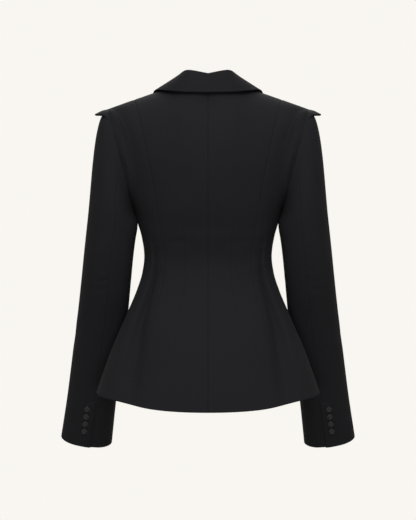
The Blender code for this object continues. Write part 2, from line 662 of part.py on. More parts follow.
def build():
    for old in list(bpy.data.objects):
        bpy.data.objects.remove(old)
    parts = bpy.data.collections.new("blazer")
    bpy.context.scene.collection.children.link(parts)
    frame = bpy.data.objects.new("shoulder_line", None)
    parts.objects.link(frame)
    wool = new_material("black_wool", WOOL_COLOUR, WOOL_ROUGHNESS)
    horn = new_material("black_button", BUTTON_COLOUR, BUTTON_ROUGHNESS)

    def add_wall(name, grid, thickness=CLOTH, mirrored=False):
        turn = MIRROR if mirrored else 1.0
        mesh = wall_mesh(name, grid[0] * turn, grid[1] * turn, thickness)
        add_object(name, mesh, wool, parts, frame)

    for side, lap, mirrored in (("left", UNDER_LAP, False), ("right", OVER_LAP, True)):
        panels = body_panels() | {"front": front_panel(lap)}
        for panel, neighbour in zip(list(panels), list(panels)[1:]):
            share_seam(panels[panel], panels[neighbour])
        for name, grid in (panels | sleeve_pieces()).items():
            add_wall(f"{name}_{side}", grid, mirrored=mirrored)
        add_wall(f"shoulder_wing_{side}", wing(), WING_CLOTH, mirrored)
    add_wall("lapel_left", lapel(UNDER_LAP, UNDER_ROLL, UNDER_TIP), LAPEL_CLOTH)
    add_wall("lapel_right", lapel(OVER_LAP, UPPER_ROLL, UPPER_TIP), LAPEL_CLOTH, mirrored=True)
    add_wall("collar", collar(), COLLAR_CLOTH)

    girth = math.pi * (SLEEVE_SECTIONS[0, 3] + SLEEVE_SECTIONS[0, 4])
    button_angle = BACK_ARM_SEAM - WHOLE_TURN * CUFF_BUTTON_INSET / girth
    grid = [sleeve_rib(button_angle + turn) for turn in (-1.0, 0.0, 1.0)]
    for row in range(CUFF_BUTTONS):
        share = (CUFF_BUTTON_FIRST + CUFF_BUTTON_PITCH * row) / length_of(grid[1])
        before, point, after = (along(line, [share])[0] for line in grid)
        normal = unit(np.cross(after - before, along(grid[1], [share + NUDGE])[0] - point))
        for side, turn in (("left", np.ones(3)), ("right", MIRROR)):
            name = f"cuff_button_{side}_{row + 1}"
            add_button(name, point * turn, normal * turn, CUFF_BUTTON_RADIUS, horn, parts, frame)
    height = FRONT_BUTTON_Z + FRONT_BUTTON_RADIUS * np.array((-1.0, 0.0, 1.0))
    lift = np.array((0.0, LAP_OFFSET + FRONT_BUTTON_LIFT, 0.0))
    below, point, above = body_point(CENTRE_FRONT, height) - lift
    normal = unit(np.cross(above - below, (-1.0, 0.0, 0.0)))
    add_button("front_button", point, normal, FRONT_BUTTON_RADIUS, horn, parts, frame)


build()
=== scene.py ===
import math

import bmesh
import bpy
import numpy as np
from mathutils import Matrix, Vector
from mathutils.bvhtree import BVHTree


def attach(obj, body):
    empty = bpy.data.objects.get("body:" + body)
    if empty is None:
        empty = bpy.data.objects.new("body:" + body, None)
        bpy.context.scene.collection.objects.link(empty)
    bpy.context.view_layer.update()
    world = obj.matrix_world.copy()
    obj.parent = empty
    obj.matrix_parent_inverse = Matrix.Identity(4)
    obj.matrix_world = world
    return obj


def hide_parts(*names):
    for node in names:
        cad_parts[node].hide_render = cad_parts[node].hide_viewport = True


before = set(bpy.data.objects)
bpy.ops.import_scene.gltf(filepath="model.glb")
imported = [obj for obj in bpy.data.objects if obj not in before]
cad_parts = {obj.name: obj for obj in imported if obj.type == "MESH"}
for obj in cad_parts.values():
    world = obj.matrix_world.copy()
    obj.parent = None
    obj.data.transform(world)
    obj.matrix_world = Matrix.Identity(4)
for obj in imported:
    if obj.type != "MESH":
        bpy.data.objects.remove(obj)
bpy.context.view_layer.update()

# Studio: a bright plain room, lit mostly from above and little from the sides, with a high and a low softbox
# before the back and the same pair before the front. The pale floor lies a standing height below the
# shoulders and is clear from below, and the camera looks level at the back of the blazer.
ROOM_COLOUR = (0.947, 0.922, 0.880, 1.0)
ROOM_LIGHT_LOW = 0.10
ROOM_LIGHT_HIGH = 1.29
ROOM_SIDE_LOSS = 0.63
FLOOR_COLOUR = (0.86, 0.85, 0.83, 1.0)
FLOOR_DARK = (0.8342, 0.8245, 0.8051, 1.0)
FLOOR_Z = -1.36
FLOOR_RADIUS = 2.6
FLOOR_CLEAR = 0.7
CAMERA_DISTANCE = 4.0
CAMERA_Z = -0.302
FRAME_HEIGHT = 0.988
SENSOR = 36.0
# Softboxes on either side. Columns: name, distance, height, height of what they are aimed at, size, power
SOFTBOXES = (
    ("high", 2.3, 2.3, -0.2, (1.8, 1.6), 40.0),
    ("low", 3.2, -0.5, -0.3, (1.8, 1.4), 18.5),
)


def plug(node, inputs):
    """Gives each of these inputs of the node its value, or joins it to another node's output."""
    for name, value in inputs.items():
        if isinstance(value, bpy.types.NodeSocket):
            node.id_data.links.new(value, node.inputs[name])
        else:
            node.inputs[name].default_value = value
    return node


def add_node(tree, kind, inputs=None, **settings):
    node = tree.nodes.new(kind)
    for name, value in settings.items():
        setattr(node, name, value)
    return plug(node, inputs or {})


def in_studio(name, data):
    item = bpy.data.objects.new(name, data)
    studio.collection.objects.link(item)
    return item


studio = bpy.context.scene
studio.view_settings.view_transform = "Standard"
room = bpy.data.worlds.new("studio_room")
room.use_nodes = True
tree = room.node_tree
direction = add_node(tree, "ShaderNodeTexCoord").outputs["Generated"]
direction_parts = add_node(tree, "ShaderNodeSeparateXYZ", {0: direction}).outputs
from_above = add_node(tree, "ShaderNodeMapRange", {
    "Value": direction_parts["Z"], "From Min": -1.0, "To Min": ROOM_LIGHT_LOW, "To Max": ROOM_LIGHT_HIGH,
}).outputs["Result"]
sideways = add_node(tree, "ShaderNodeMath", {0: direction_parts["X"]}, operation="ABSOLUTE").outputs[0]
kept = add_node(tree, "ShaderNodeMath", {0: sideways, 1: -ROOM_SIDE_LOSS, 2: 1.0}, operation="MULTIPLY_ADD")
flagged = add_node(tree, "ShaderNodeMath", {0: from_above, 1: kept.outputs[0]}, operation="MULTIPLY")
seen = add_node(tree, "ShaderNodeLightPath").outputs["Is Camera Ray"]
strength = add_node(tree, "ShaderNodeMix", {"Factor": seen, "A": flagged.outputs[0], "B": 1.0})
plug(tree.nodes["Background"], {"Color": ROOM_COLOUR, "Strength": strength.outputs["Result"]})
studio.world = room

lens = bpy.data.cameras.new("catalogue_camera")
lens.sensor_width = SENSOR
lens.lens = SENSOR * CAMERA_DISTANCE / FRAME_HEIGHT
camera = in_studio("catalogue_camera", lens)
camera.location = (0.0, CAMERA_DISTANCE, CAMERA_Z)
camera.rotation_euler = (math.pi / 2, 0.0, math.pi)
studio.camera = camera

for side, turn in (("back", 1.0), ("front", -1.0)):
    for level, away, height, aim, box, power in SOFTBOXES:
        light = bpy.data.lights.new(f"{side}_{level}_softbox", "AREA")
        light.shape = "RECTANGLE"
        light.size, light.size_y = box
        light.energy = power
        lamp = in_studio(light.name, light)
        lamp.location = (0.0, turn * away, height)
        lamp.rotation_euler = Vector((0.0, -turn * away, aim - height)).to_track_quat("-Z", "Y").to_euler()

floor_mesh = bpy.data.meshes.new("studio_floor")
disc = bmesh.new()
bmesh.ops.create_circle(disc, cap_ends=True, radius=FLOOR_RADIUS, segments=96)
bmesh.ops.translate(disc, verts=disc.verts, vec=(0.0, 0.0, FLOOR_Z))
disc.to_mesh(floor_mesh)
disc.free()
floor_paint = bpy.data.materials.new("pale_floor")
floor_paint.use_nodes = True
tree = floor_paint.node_tree
place = add_node(tree, "ShaderNodeTexCoord").outputs["Object"]
mottle = add_node(tree, "ShaderNodeTexNoise", {"Vector": place, "Scale": 1.5}).outputs["Fac"]
tint = add_node(tree, "ShaderNodeMix", data_type="RGBA")
plug(tint, {"Factor": mottle, "A": FLOOR_COLOUR, "B": FLOOR_DARK})
paint = plug(tree.nodes["Principled BSDF"], {"Base Color": tint.outputs["Result"], "Roughness": 0.9})
level_place = add_node(tree, "ShaderNodeVectorMath", {0: place, 1: (1.0, 1.0, 0.0)}, operation="MULTIPLY")
from_middle = add_node(tree, "ShaderNodeVectorMath", {0: level_place.outputs["Vector"]}, operation="LENGTH")
gone = add_node(tree, "ShaderNodeMapRange", {
    "Value": from_middle.outputs["Value"], "From Min": FLOOR_CLEAR, "From Max": FLOOR_RADIUS,
}, interpolation_type="SMOOTHSTEP").outputs["Result"]
underside = add_node(tree, "ShaderNodeNewGeometry").outputs["Backfacing"]
unseen = add_node(tree, "ShaderNodeMath", {0: gone, 1: underside}, operation="MAXIMUM").outputs[0]
clear = add_node(tree, "ShaderNodeBsdfTransparent").outputs["BSDF"]
faded = add_node(tree, "ShaderNodeMixShader", {"Fac": unseen, 1: paint.outputs["BSDF"], 2: clear})
plug(tree.nodes["Material Output"], {"Surface": faded.outputs["Shader"]})
floor_mesh.materials.append(floor_paint)
floor = in_studio("studio_floor", floor_mesh)
floor.visible_diffuse = False

# Centre back panels: two long pieces of fine black wool suiting, joined by the centre-back seam from the
# neckline to the hem. Each is shaped at the waist by one fisheye dart, sewn on the wrong side and pressed.
CLOTH = 0.0020
HEM_TURN = 0.035
HEM_EXTRA = 0.0007
HEM_STEP = 0.004
SEAM_DEPTH = 0.0008
SEAM_REACH = 0.0012
PUCKER = 0.00006
PUCKER_PITCH = 0.019
PUCKER_REACH = 0.007
SLOW_PUCKER = 0.6
SLOW_PUCKER_PITCH = 0.03097
SLOW_PUCKER_SHIFT = 1.3
EDGE_ROUND = 0.42
WOOL_DARK = (0.0112, 0.0115, 0.0134, 1.0)
WOOL_LIGHT = (0.0146, 0.0150, 0.0173, 1.0)
THREAD_PITCH = 0.00062
NAP = 0.5
NAP_SCALE = 1400.0
TONE_SCALE = 14.0

ARMPIT_Z = -0.207
HEM_SIDE_Z = -0.550
HEM_BACK_DROP = 0.030
HEM_FRONT_DROP = 0.022
BACK_PRINCESS = 41.0
SIDE_SEAM = 90.0
FRONT_PRINCESS = 140.0
CENTRE_FRONT = 180.0
BACK_ROUND = 2.2
FRONT_ROUND = 2.15
NECK_ANGLE = 27.0
BACK_SHOULDER_ANGLE = 53.0
FRONT_SHOULDER_ANGLE = 127.0
RISE_PULL = 1.5
DART_ANGLE = 18.7
DART_TOP_Z = -0.215
DART_LOW_Z = -0.430
DART_SEAM = 1.2
DART_RUN = 0.4
RIB_SAMPLES = 160
PRESS_REACH = 7.0
PRESS_SHARES = (-0.84, -0.56, -0.28, 0.28, 0.56, 0.84)
PRESS_DEPTH = (0.002, 0.045)
FLAT_LEVELS = 60
MIRROR = np.array((-1.0, 1.0, 1.0))
SIDES = (("left", 1.0), ("right", MIRROR))

# Columns: height, half width, where along Y the section is widest, centre back and centre front along Y
BODY_SECTIONS = np.array((
    (-0.620, 0.236, 0.042, 0.163, -0.143),
    (-0.552, 0.212, 0.036, 0.150, -0.133),
    (-0.473, 0.184, 0.030, 0.132, -0.124),
    (-0.404, 0.154, 0.024, 0.112, -0.116),
    (-0.355, 0.1335, 0.016, 0.093, -0.110),
    (-0.325, 0.1245, 0.011, 0.082, -0.106),
    (-0.296, 0.121, 0.008, 0.077, -0.105),
    (-0.251, 0.127, 0.006, 0.083, -0.122),
    (-0.207, 0.139, 0.004, 0.096, -0.136),
    (-0.180, 0.144, 0.003, 0.102, -0.138),
))

# Soft flutes of the flared skirt. Columns: angle round the body, share of the flute depth, outwards
FLUTE_DEPTH = 0.0065
FLUTE_TOP_Z = -0.330
FLUTES = np.array((
    (0.0, 0.1), (22.0, 0.7), (44.0, -1.0), (66.0, 0.25), (90.0, -0.2),
    (114.0, 0.7), (140.0, -0.8), (160.0, 0.3), (180.0, 0.0), (200.0, 0.0),
))

# Neckline, shoulder and armhole. Columns: angle round the body, the point there, and the cloth's pull at it
TOP_EDGE = np.array((
    (-10.0, -0.031, 0.0560, 0.0175, 0.0, -0.093, 0.135),
    (0.0, 0.0, 0.060, 0.016, 0.0, -0.085, 0.170),
    (10.0, 0.031, 0.0560, 0.0175, 0.0, -0.093, 0.135),
    (19.0, 0.055, 0.0390, 0.0205, 0.0, -0.118, 0.085),
    (27.0, 0.072, 0.0, 0.0265, 0.0, -0.190, 0.030),
    (41.0, 0.13986, 0.0, 0.00243, 0.0, -0.205, 0.0),
    (53.0, 0.189, 0.0, -0.015, 0.0943, -0.165, -0.0335),
    (54.5, 0.1878, 0.019, -0.0220, 0.080, -0.080, -0.020),
    (57.0, 0.1800, 0.041, -0.053, 0.060, -0.038, 0.010),
    (60.5, 0.1705, 0.053, -0.088, 0.046, -0.024, 0.018),
    (65.0, 0.1605, 0.055, -0.125, 0.031, -0.012, 0.024),
    (70.0, 0.1520, 0.049, -0.160, 0.017, -0.007, 0.024),
    (76.0, 0.1455, 0.034, -0.186, 0.012, -0.003, 0.020),
    (84.0, 0.1405, 0.0155, -0.203, 0.004, -0.001, 0.014),
    (90.0, 0.139, 0.004, -0.207, 0.003, 0.0, 0.012),
    (96.0, 0.1403, -0.0095, -0.203, 0.004, 0.001, 0.014),
    (104.0, 0.1445, -0.030, -0.187, 0.012, 0.003, 0.020),
    (110.0, 0.1505, -0.046, -0.160, 0.026, 0.007, 0.024),
    (115.0, 0.1575, -0.054, -0.125, 0.042, 0.018, 0.024),
    (119.5, 0.1670, -0.052, -0.088, 0.050, 0.040, 0.018),
    (123.0, 0.1775, -0.041, -0.053, 0.060, 0.062, 0.010),
    (125.5, 0.1870, -0.019, -0.0220, 0.083, 0.108, -0.020),
    (127.0, 0.189, 0.0, -0.015, 0.0943, 0.160, -0.0335),
    (140.0, 0.13986, 0.0, 0.00243, 0.0, 0.170, 0.0),
))
TOP_CORNERS = (-10.0, NECK_ANGLE, BACK_SHOULDER_ANGLE, FRONT_SHOULDER_ANGLE, FRONT_PRINCESS)

# Soft trough from the side of the waist down the skirt, which meets the back princess seam near the hem.
# Columns: height, how far outside that seam it lies, depth
SKIRT_TROUGH = np.array((
    (-0.575, 0.008, 0.0), (-0.549, 0.010, 0.004), (-0.511, 0.014, 0.009), (-0.473, 0.017, 0.012),
    (-0.435, 0.025, 0.012), (-0.397, 0.0335, 0.012), (-0.360, 0.038, 0.010), (-0.310, 0.036, 0.004),
    (-0.260, 0.034, 0.0),
))
SKIRT_TROUGH_REACH = 0.022

# How the back is filled out above the waist and hollowed below it. Columns: height, outwards
BACK_SHAPE = np.array((
    (-0.473, 0.0), (-0.404, -0.0035), (-0.355, -0.0065), (-0.325, -0.0045), (-0.296, -0.0005),
    (-0.251, 0.0040), (-0.207, 0.0020), (-0.170, 0.0),
))
BACK_SHAPE_FADE = (45.0, 80.0)

# Soft creases at the waist. Columns: from (across the panel, height) to (across, height), half width, depth
CENTRE_BACK_CREASES = (
    (0.020, -0.272, 0.092, -0.262, 0.011, -0.0010),
    (0.012, -0.316, 0.090, -0.308, 0.013, -0.0009),
)


def unit(vectors):
    return vectors / np.maximum(np.linalg.norm(vectors, axis=-1, keepdims=True), 1e-12)


def hermite(share, start, start_pull, end, end_pull):
    square = share * share
    cube = square * share
    return (
        (2 * cube - 3 * square + 1) * start
        + (cube - 2 * square + share) * start_pull
        + (3 * square - 2 * cube) * end
        + (cube - square) * end_pull
    )


def smooth(at, xs, ys):
    """Cubic curve through the points (xs, ys) that never overshoots them; ys may hold vectors."""
    flat = ys.reshape(len(xs), -1)
    steps = np.diff(xs)
    slopes = np.diff(flat, axis=0) / steps[:, None]
    product = slopes[:-1] * slopes[1:]
    mean = 2 * product / np.where(product > 0, slopes[:-1] + slopes[1:], 1.0)
    tangents = np.concatenate([slopes[:1], np.where(product > 0, mean, 0.0), slopes[-1:]])
    at = np.clip(np.asarray(at, float), xs[0], xs[-1])
    i = np.clip(np.searchsorted(xs, at, side="right") - 1, 0, len(steps) - 1)
    width = steps[i][..., None]
    share = (at - xs[i])[..., None] / width
    curve = hermite(share, flat[i], tangents[i] * width, flat[i + 1], tangents[i + 1] * width)
    return curve.reshape(at.shape + ys.shape[1:])


def rounded(at, xs, ys):
    """Cubic curve through the points (xs, ys), each tangent set by the two neighbours."""
    tangents = np.gradient(ys, xs, axis=0)
    i = np.clip(np.searchsorted(xs, at, side="right") - 1, 0, len(xs) - 2)
    ends = (slice(None),) + (None,) * (ys.ndim - 1)
    width = (xs[i + 1] - xs[i])[ends]
    share = (at - xs[i])[ends] / width
    return hermite(share, ys[i], tangents[i] * width, ys[i + 1], tangents[i + 1] * width)


def ease(value, low, high):
    share = np.clip((value - low) / (high - low), 0.0, 1.0)
    return share * share * (3 - 2 * share)


def columns_at(table, at):
    """The table's other columns, read smoothly where its first one has these values."""
    return np.moveaxis(smooth(at, table[:, 0], table[:, 1:]), -1, 0)


def lengths(line):
    """Distances along the line from its start."""
    return np.concatenate(([0.0], np.cumsum(np.linalg.norm(np.diff(line, axis=0), axis=1))))


def along(line, shares):
    """Points at these shares of the line's length."""
    places = lengths(line)
    return np.stack([np.interp(shares, places / places[-1], column) for column in line.T], axis=-1)


def body_point(angle, z):
    """Points of the cloth's outer face at these angles round the body and these heights."""
    half, widest, back, front = columns_at(BODY_SECTIONS, z)
    angle = np.broadcast_to(angle, np.shape(z))
    sine, cosine = np.sin(np.radians(angle)), np.cos(np.radians(angle))
    power = 2 / np.where(cosine > 0, BACK_ROUND, FRONT_ROUND)
    reach = np.where(cosine > 0, back - widest, widest - front)
    across = half * np.sign(sine) * np.abs(sine) ** power
    deep = reach * np.sign(cosine) * np.abs(cosine) ** power
    grow = ease(FLUTE_TOP_Z - z, 0.0, FLUTE_TOP_Z - HEM_SIDE_Z)
    flute = FLUTE_DEPTH * grow * columns_at(FLUTES, angle)[0]
    out = unit(np.stack([across, deep], axis=-1))
    return np.stack([across + flute * out[..., 0], widest + deep + flute * out[..., 1], z], axis=-1)


def hem_z(angle):
    cosine = math.cos(math.radians(angle))
    return HEM_SIDE_Z - (HEM_BACK_DROP if cosine > 0 else HEM_FRONT_DROP) * cosine * cosine


def top_edge(angle):
    """(point, pull) of the upper edge at this angle, with corners kept at the neck and the shoulder."""
    low = max(corner for corner in TOP_CORNERS[:-1] if corner <= angle)
    high = min(corner for corner in TOP_CORNERS[1:] if corner > low and corner >= angle)
    rows = TOP_EDGE[(TOP_EDGE[:, 0] >= low) & (TOP_EDGE[:, 0] <= high)]
    point = rounded(np.array([angle]), rows[:, 0], rows[:, 1:4])[0]
    return point, smooth(angle, TOP_EDGE[:, 0], TOP_EDGE[:, 4:])


def rise(lower, point, pull):
    """Adds a rib's upper stretch, which leaves the lower one smoothly and arrives with the given pull."""
    climb = point[2] - ARMPIT_Z
    if climb < 1e-4:
        return lower
    direction = lower[-1] - lower[-2]
    start_pull = direction / direction[2] * RISE_PULL * climb
    share = np.linspace(0, 1, RIB_SAMPLES)[1:, None]
    return np.concatenate([lower, hermite(share, lower[-1], start_pull, point, pull)])


def body_rib(angle):
    """Line on the body from the hem up to the upper edge, at one angle."""
    z = np.linspace(hem_z(angle), ARMPIT_Z, RIB_SAMPLES)
    return rise(body_point(angle, z), *top_edge(angle))


def pressed_rib(angle, shares):
    """Points on that line, eased with its neighbours so that a corner of the upper edge leaves no ridge."""
    if angle < 0:
        return pressed_rib(-angle, shares) * MIRROR
    line = along(body_rib(angle), shares)
    from_top = np.linalg.norm(np.diff(line, axis=0), axis=1)[::-1].cumsum()[::-1]
    reach = min(PRESS_REACH, FRONT_PRINCESS - angle)
    if reach < 0.1:
        return line
    turns = [angle + share * reach for share in PRESS_SHARES]
    near = [along(body_rib(abs(turn)), shares) * (MIRROR if turn < 0 else 1.0) for turn in turns]
    eased = np.average([line] + near, axis=0, weights=[1.0] + [1.0 - abs(share) for share in PRESS_SHARES])
    blend = ease(np.append(from_top, 0.0), *PRESS_DEPTH)
    return line + blend[:, None] * (eased - line)


def spread(places, least):
    """The places in order, without those that lie closer than least to the one before."""
    places = np.unique(places)
    return places[np.append(True, np.diff(places) > least)]


def graded(low, high, count, step, ends):
    """Evenly spaced places from low to high, with more of them close to the given ends."""
    crowd = step * np.array((0.35, 0.8, 1.4, 2.2, 3.3, 5.0))
    places = [np.linspace(low, high, count)]
    if "low" in ends:
        places.append(low + crowd)
    if "high" in ends:
        places.append(high - crowd)
    return spread(np.concatenate(places), 0.25 * step)


def spans(points):
    """Distances over the cloth at each point, from the first line, last line, lower edge and upper edge."""
    across = np.linalg.norm(np.diff(points, axis=0), axis=-1).cumsum(axis=0)
    across = np.concatenate([np.zeros_like(across[:1]), across])
    up = np.linalg.norm(np.diff(points, axis=1), axis=-1).cumsum(axis=1)
    up = np.concatenate([np.zeros_like(up[:, :1]), up], axis=1)
    return across, across[-1:] - across, up, up[:, -1:] - up


def outward(points):
    return unit(np.cross(np.gradient(points, axis=1), np.gradient(points, axis=0)))


def with_neighbours(places):
    """The places, with one more beyond each end, so that the cloth keeps its slope across a seam."""
    return np.concatenate([[2 * places[0] - places[1]], places, [2 * places[-1] - places[-2]]])


def panel(lines):
    """(points, normals) of the lines between the first and the last one."""
    points = np.array(lines)
    return points[1:-1], outward(points)[1:-1]


def seam(distance, run):
    """Dip where two pieces are sewn together, with the slight puckers that stitching leaves beside it."""
    turns = 2 * math.pi * run
    wave = np.cos(turns / PUCKER_PITCH)
    wave = wave + SLOW_PUCKER * np.cos(turns / SLOW_PUCKER_PITCH + SLOW_PUCKER_SHIFT)
    return -SEAM_DEPTH * np.exp(-distance / SEAM_REACH) + PUCKER * wave * np.exp(-distance / PUCKER_REACH)


def creases(table, across, height):
    """Soft troughs with low ridges beside them; each runs from one place to another and fades at both."""
    total = np.zeros_like(across)
    for from_across, from_height, to_across, to_height, half, depth in table:
        run, climb = to_across - from_across, to_height - from_height
        share = ((across - from_across) * run + (height - from_height) * climb) / (run * run + climb * climb)
        share = np.clip(share, 0.0, 1.0)
        away = np.hypot(across - from_across - share * run, height - from_height - share * climb) / half
        total += depth * (1 - away**2) * np.exp(-(away**2)) * np.sin(math.pi * share)
    return total


def skirt_trough(sideways, height):
    """Depth of that trough, by the distance sideways from the seam."""
    place, depth = columns_at(SKIRT_TROUGH, height)
    away = (sideways - place) / SKIRT_TROUGH_REACH
    return -depth * (1 - 0.5 * away**2) * np.exp(-(away**2))


def back_shape(angles, height):
    """Fullness of the back at these angles round the body, which fades out towards the side seams."""
    return columns_at(BACK_SHAPE, height)[0] * (1 - ease(angles, *BACK_SHAPE_FADE))[:, None]


def wool_weave_group():
    """Fine twill: diagonal ribs of thread, a short nap over them, and a slow change of tone."""
    group = bpy.data.node_groups.new("fine_wool_weave", "ShaderNodeTree")
    for name, value in (("Thread Pitch", THREAD_PITCH), ("Nap", NAP)):
        group.interface.new_socket(name, in_out="INPUT", socket_type="NodeSocketFloat").default_value = value
    for name in ("Tone", "Height", "Nap Roughness"):
        group.interface.new_socket(name, in_out="OUTPUT", socket_type="NodeSocketFloat")

    def math_node(operation, *values):
        return add_node(group, "ShaderNodeMath", dict(enumerate(values)), operation=operation).outputs[0]

    def noise(scale):
        inputs = {"Vector": uv, "Scale": scale, "Detail": 3.0}
        return add_node(group, "ShaderNodeTexNoise", inputs).outputs["Fac"]

    given = add_node(group, "NodeGroupInput").outputs
    uv = add_node(group, "ShaderNodeTexCoord").outputs["UV"]
    split = add_node(group, "ShaderNodeSeparateXYZ", {0: uv}).outputs
    turns = math_node("DIVIDE", 2 * math.pi, given["Thread Pitch"])
    warp = math_node("MULTIPLY", split["X"], turns)
    weft = math_node("MULTIPLY", split["Y"], turns)
    rib = math_node("SINE", math_node("MULTIPLY", math_node("ADD", warp, weft), 0.5))
    cross = math_node("MULTIPLY", math_node("SINE", warp), math_node("SINE", weft))
    nap, slow = noise(NAP_SCALE), noise(TONE_SCALE)
    threads = math_node("MULTIPLY_ADD", rib, 0.28, math_node("MULTIPLY", cross, 0.14))
    grain = math_node("MULTIPLY_ADD", threads, 0.30, math_node("MULTIPLY", nap, 0.45))
    add_node(group, "NodeGroupOutput", {
        "Tone": math_node("MULTIPLY_ADD", slow, 0.55, grain),
        "Height": math_node("MULTIPLY_ADD", nap, given["Nap"], threads),
        "Nap Roughness": math_node("MULTIPLY_ADD", nap, 0.14, 0.78),
    })
    return group


def wool_material():
    material = bpy.data.materials.new("black_wool_suiting")
    material.use_nodes = True
    tree = material.node_tree
    cloth = add_node(tree, "ShaderNodeGroup", node_tree=wool_weave_group()).outputs
    tone = add_node(tree, "ShaderNodeMix", data_type="RGBA")
    plug(tone, {"Factor": cloth["Tone"], "A": WOOL_DARK, "B": WOOL_LIGHT})
    bump = add_node(tree, "ShaderNodeBump")
    plug(bump, {"Height": cloth["Height"], "Strength": 0.30, "Distance": 0.00025})
    plug(tree.nodes["Principled BSDF"], {
        "Base Color": tone.outputs["Result"], "Roughness": cloth["Nap Roughness"],
        "Normal": bump.outputs["Normal"], "Specular IOR Level": 0.10, "Sheen Weight": 0.02,
        "Sheen Roughness": 0.45, "Sheen Tint": (0.42, 0.42, 0.45, 1.0),
    })
    return material


black_wool = wool_material()


def cloth_quads(lines, rows):
    """Corners of the faces of a cloth with so many lines, each of so many points."""
    index = np.arange(lines * rows).reshape(lines, rows)
    corners = [index[:-1, :-1], index[1:, :-1], index[1:, 1:], index[:-1, 1:]]
    return np.stack(corners, axis=-1).reshape(-1, 4)


def cloth_piece(name, points, normals, thickness, free):
    """Object of one piece of cloth: outer and inner face, and a rim that is rounded at the free edges."""
    lines, rows = points.shape[:2]
    inner = points - np.broadcast_to(thickness, (lines, rows))[..., None] * normals
    rim = [(i, 0) for i in range(lines - 1)] + [(lines - 1, j) for j in range(rows - 1)]
    rim += [(i, rows - 1) for i in range(lines - 1, 0, -1)] + [(0, j) for j in range(rows - 1, 0, -1)]
    i, j = np.array(rim).T
    away = np.zeros((len(rim), 3))
    for edge, at, inside in (
        ("start", i == 0, (np.minimum(i + 1, lines - 1), j)),
        ("end", i == lines - 1, (np.maximum(i - 1, 0), j)),
        ("bottom", j == 0, (i, np.minimum(j + 1, rows - 1))),
        ("top", j == rows - 1, (i, np.maximum(j - 1, 0))),
    ):
        if edge in free:
            away[at] += unit(points[i, j] - points[inside])[at]
    depth = np.linalg.norm(points[i, j] - inner[i, j], axis=-1, keepdims=True)
    middle = (points[i, j] + inner[i, j]) / 2 + EDGE_ROUND * depth * away
    across, _, up, _ = spans(points)
    flat = np.stack([across, up], axis=-1)
    count = lines * rows
    quads = cloth_quads(lines, rows)
    edge = i * rows + j
    fold = 2 * count + np.arange(len(rim))
    step = np.roll(np.arange(len(rim)), -1)
    upper = np.stack([edge, fold, fold[step], edge[step]], axis=-1)
    lower = np.stack([fold, edge + count, edge[step] + count, fold[step]], axis=-1)
    faces = np.concatenate([quads, quads[:, ::-1] + count, upper, lower])
    at = lines // 2, rows // 2
    facing = np.cross(points[at[0] + 1, at[1]] - points[at], points[at[0], at[1] + 1] - points[at])
    if facing @ normals[at] < 0:
        faces = faces[:, ::-1]
    mesh = bpy.data.meshes.new(name)
    corners = np.concatenate([points.reshape(-1, 3), inner.reshape(-1, 3), middle])
    mesh.from_pydata(corners.tolist(), [], faces.tolist())
    used = np.empty(len(mesh.loops), np.int32)
    mesh.loops.foreach_get("vertex_index", used)
    places = np.concatenate([flat.reshape(-1, 2), flat.reshape(-1, 2), flat[i, j]])
    mesh.uv_layers.new(name="cloth").data.foreach_set("uv", places[used].astype(np.float32).ravel())
    mesh.shade_smooth()
    mesh.materials.append(black_wool)
    return in_studio(name, mesh)


def sew_in(node, points, normals, turn, thickness, free):
    """Piece of cloth in its node's place; its widest and longest measures over the cloth are worked out but
    not used.
    """
    piece = cloth_piece(f"{node}_cloth", points * turn, normals * turn, thickness, free)
    up = spans(points)[2]
    length = float(up[:, -1].max())
    width = 0.0
    for level in np.linspace(0.0, length, FLAT_LEVELS):
        lines = [along(line, [level / far])[0] for line, far in zip(points, up[:, -1]) if far >= level]
        width = max(width, float(np.linalg.norm(np.diff(lines, axis=0), axis=-1).sum()))
    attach(piece, "root")
    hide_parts(node)


def sew_pair(name, points, normals, thickness, free):
    """The piece on the left and its mirror image on the right, each with the neighbours of its own side."""
    for side, turn in SIDES:
        sew_in(f"{name}_{side}", points, normals, turn, thickness, free)


def turned_up(from_edge, turn):
    """Wall of the cloth, thicker inside where so much of its lower edge is turned up."""
    return CLOTH + HEM_EXTRA * (1 - ease(from_edge, turn, turn + HEM_STEP))


BODY_SHARES = graded(0.0, 1.0, 150, 0.0016, ("low", "high"))
DART_STEPS = np.array((-0.9, -0.5, -0.22, 0.0, 0.22, 0.5, 0.9))
LEAST_TURN = 0.1
centre_back_lines = spread(np.concatenate([
    graded(0.0, BACK_PRINCESS, 32, 0.6, ("low", "high")), DART_ANGLE + DART_STEPS, [NECK_ANGLE],
]), LEAST_TURN)
ribs = [pressed_rib(angle, BODY_SHARES) for angle in with_neighbours(centre_back_lines)]
centre_back, normals = panel(ribs)
from_centre, from_princess, from_hem, from_top = spans(centre_back)
dart = int(np.argmin(np.abs(centre_back_lines - DART_ANGLE)))
dart_share = (centre_back[..., 2] - DART_LOW_Z) / (DART_TOP_Z - DART_LOW_Z)
dart_depth = np.sin(math.pi * np.clip(dart_share, 0.0, 1.0)) ** 0.5
relief = seam(from_centre, from_hem) + seam(from_princess, from_hem) + seam(from_top, from_centre)
relief += DART_SEAM * dart_depth * seam(np.abs(from_centre - from_centre[dart]), from_hem + DART_RUN)
relief += creases(CENTRE_BACK_CREASES, from_centre, centre_back[..., 2])
relief += skirt_trough(-from_princess, centre_back[..., 2])
relief += back_shape(centre_back_lines, centre_back[..., 2])
centre_back = centre_back + relief[..., None] * normals
wall = turned_up(from_hem, HEM_TURN)
sew_pair("centre_back", centre_back, normals, wall, ("bottom",))

# Side back panels: from the back princess seam round to the side seam, with the back half of the armhole
# cut out of the top. The same wool, sewn to the centre back, the sleeve and the side front.
BACK_ARM_SEAM = 98.0
FRONT_ARM_SEAM = 250.0
WHOLE_TURN = 360.0

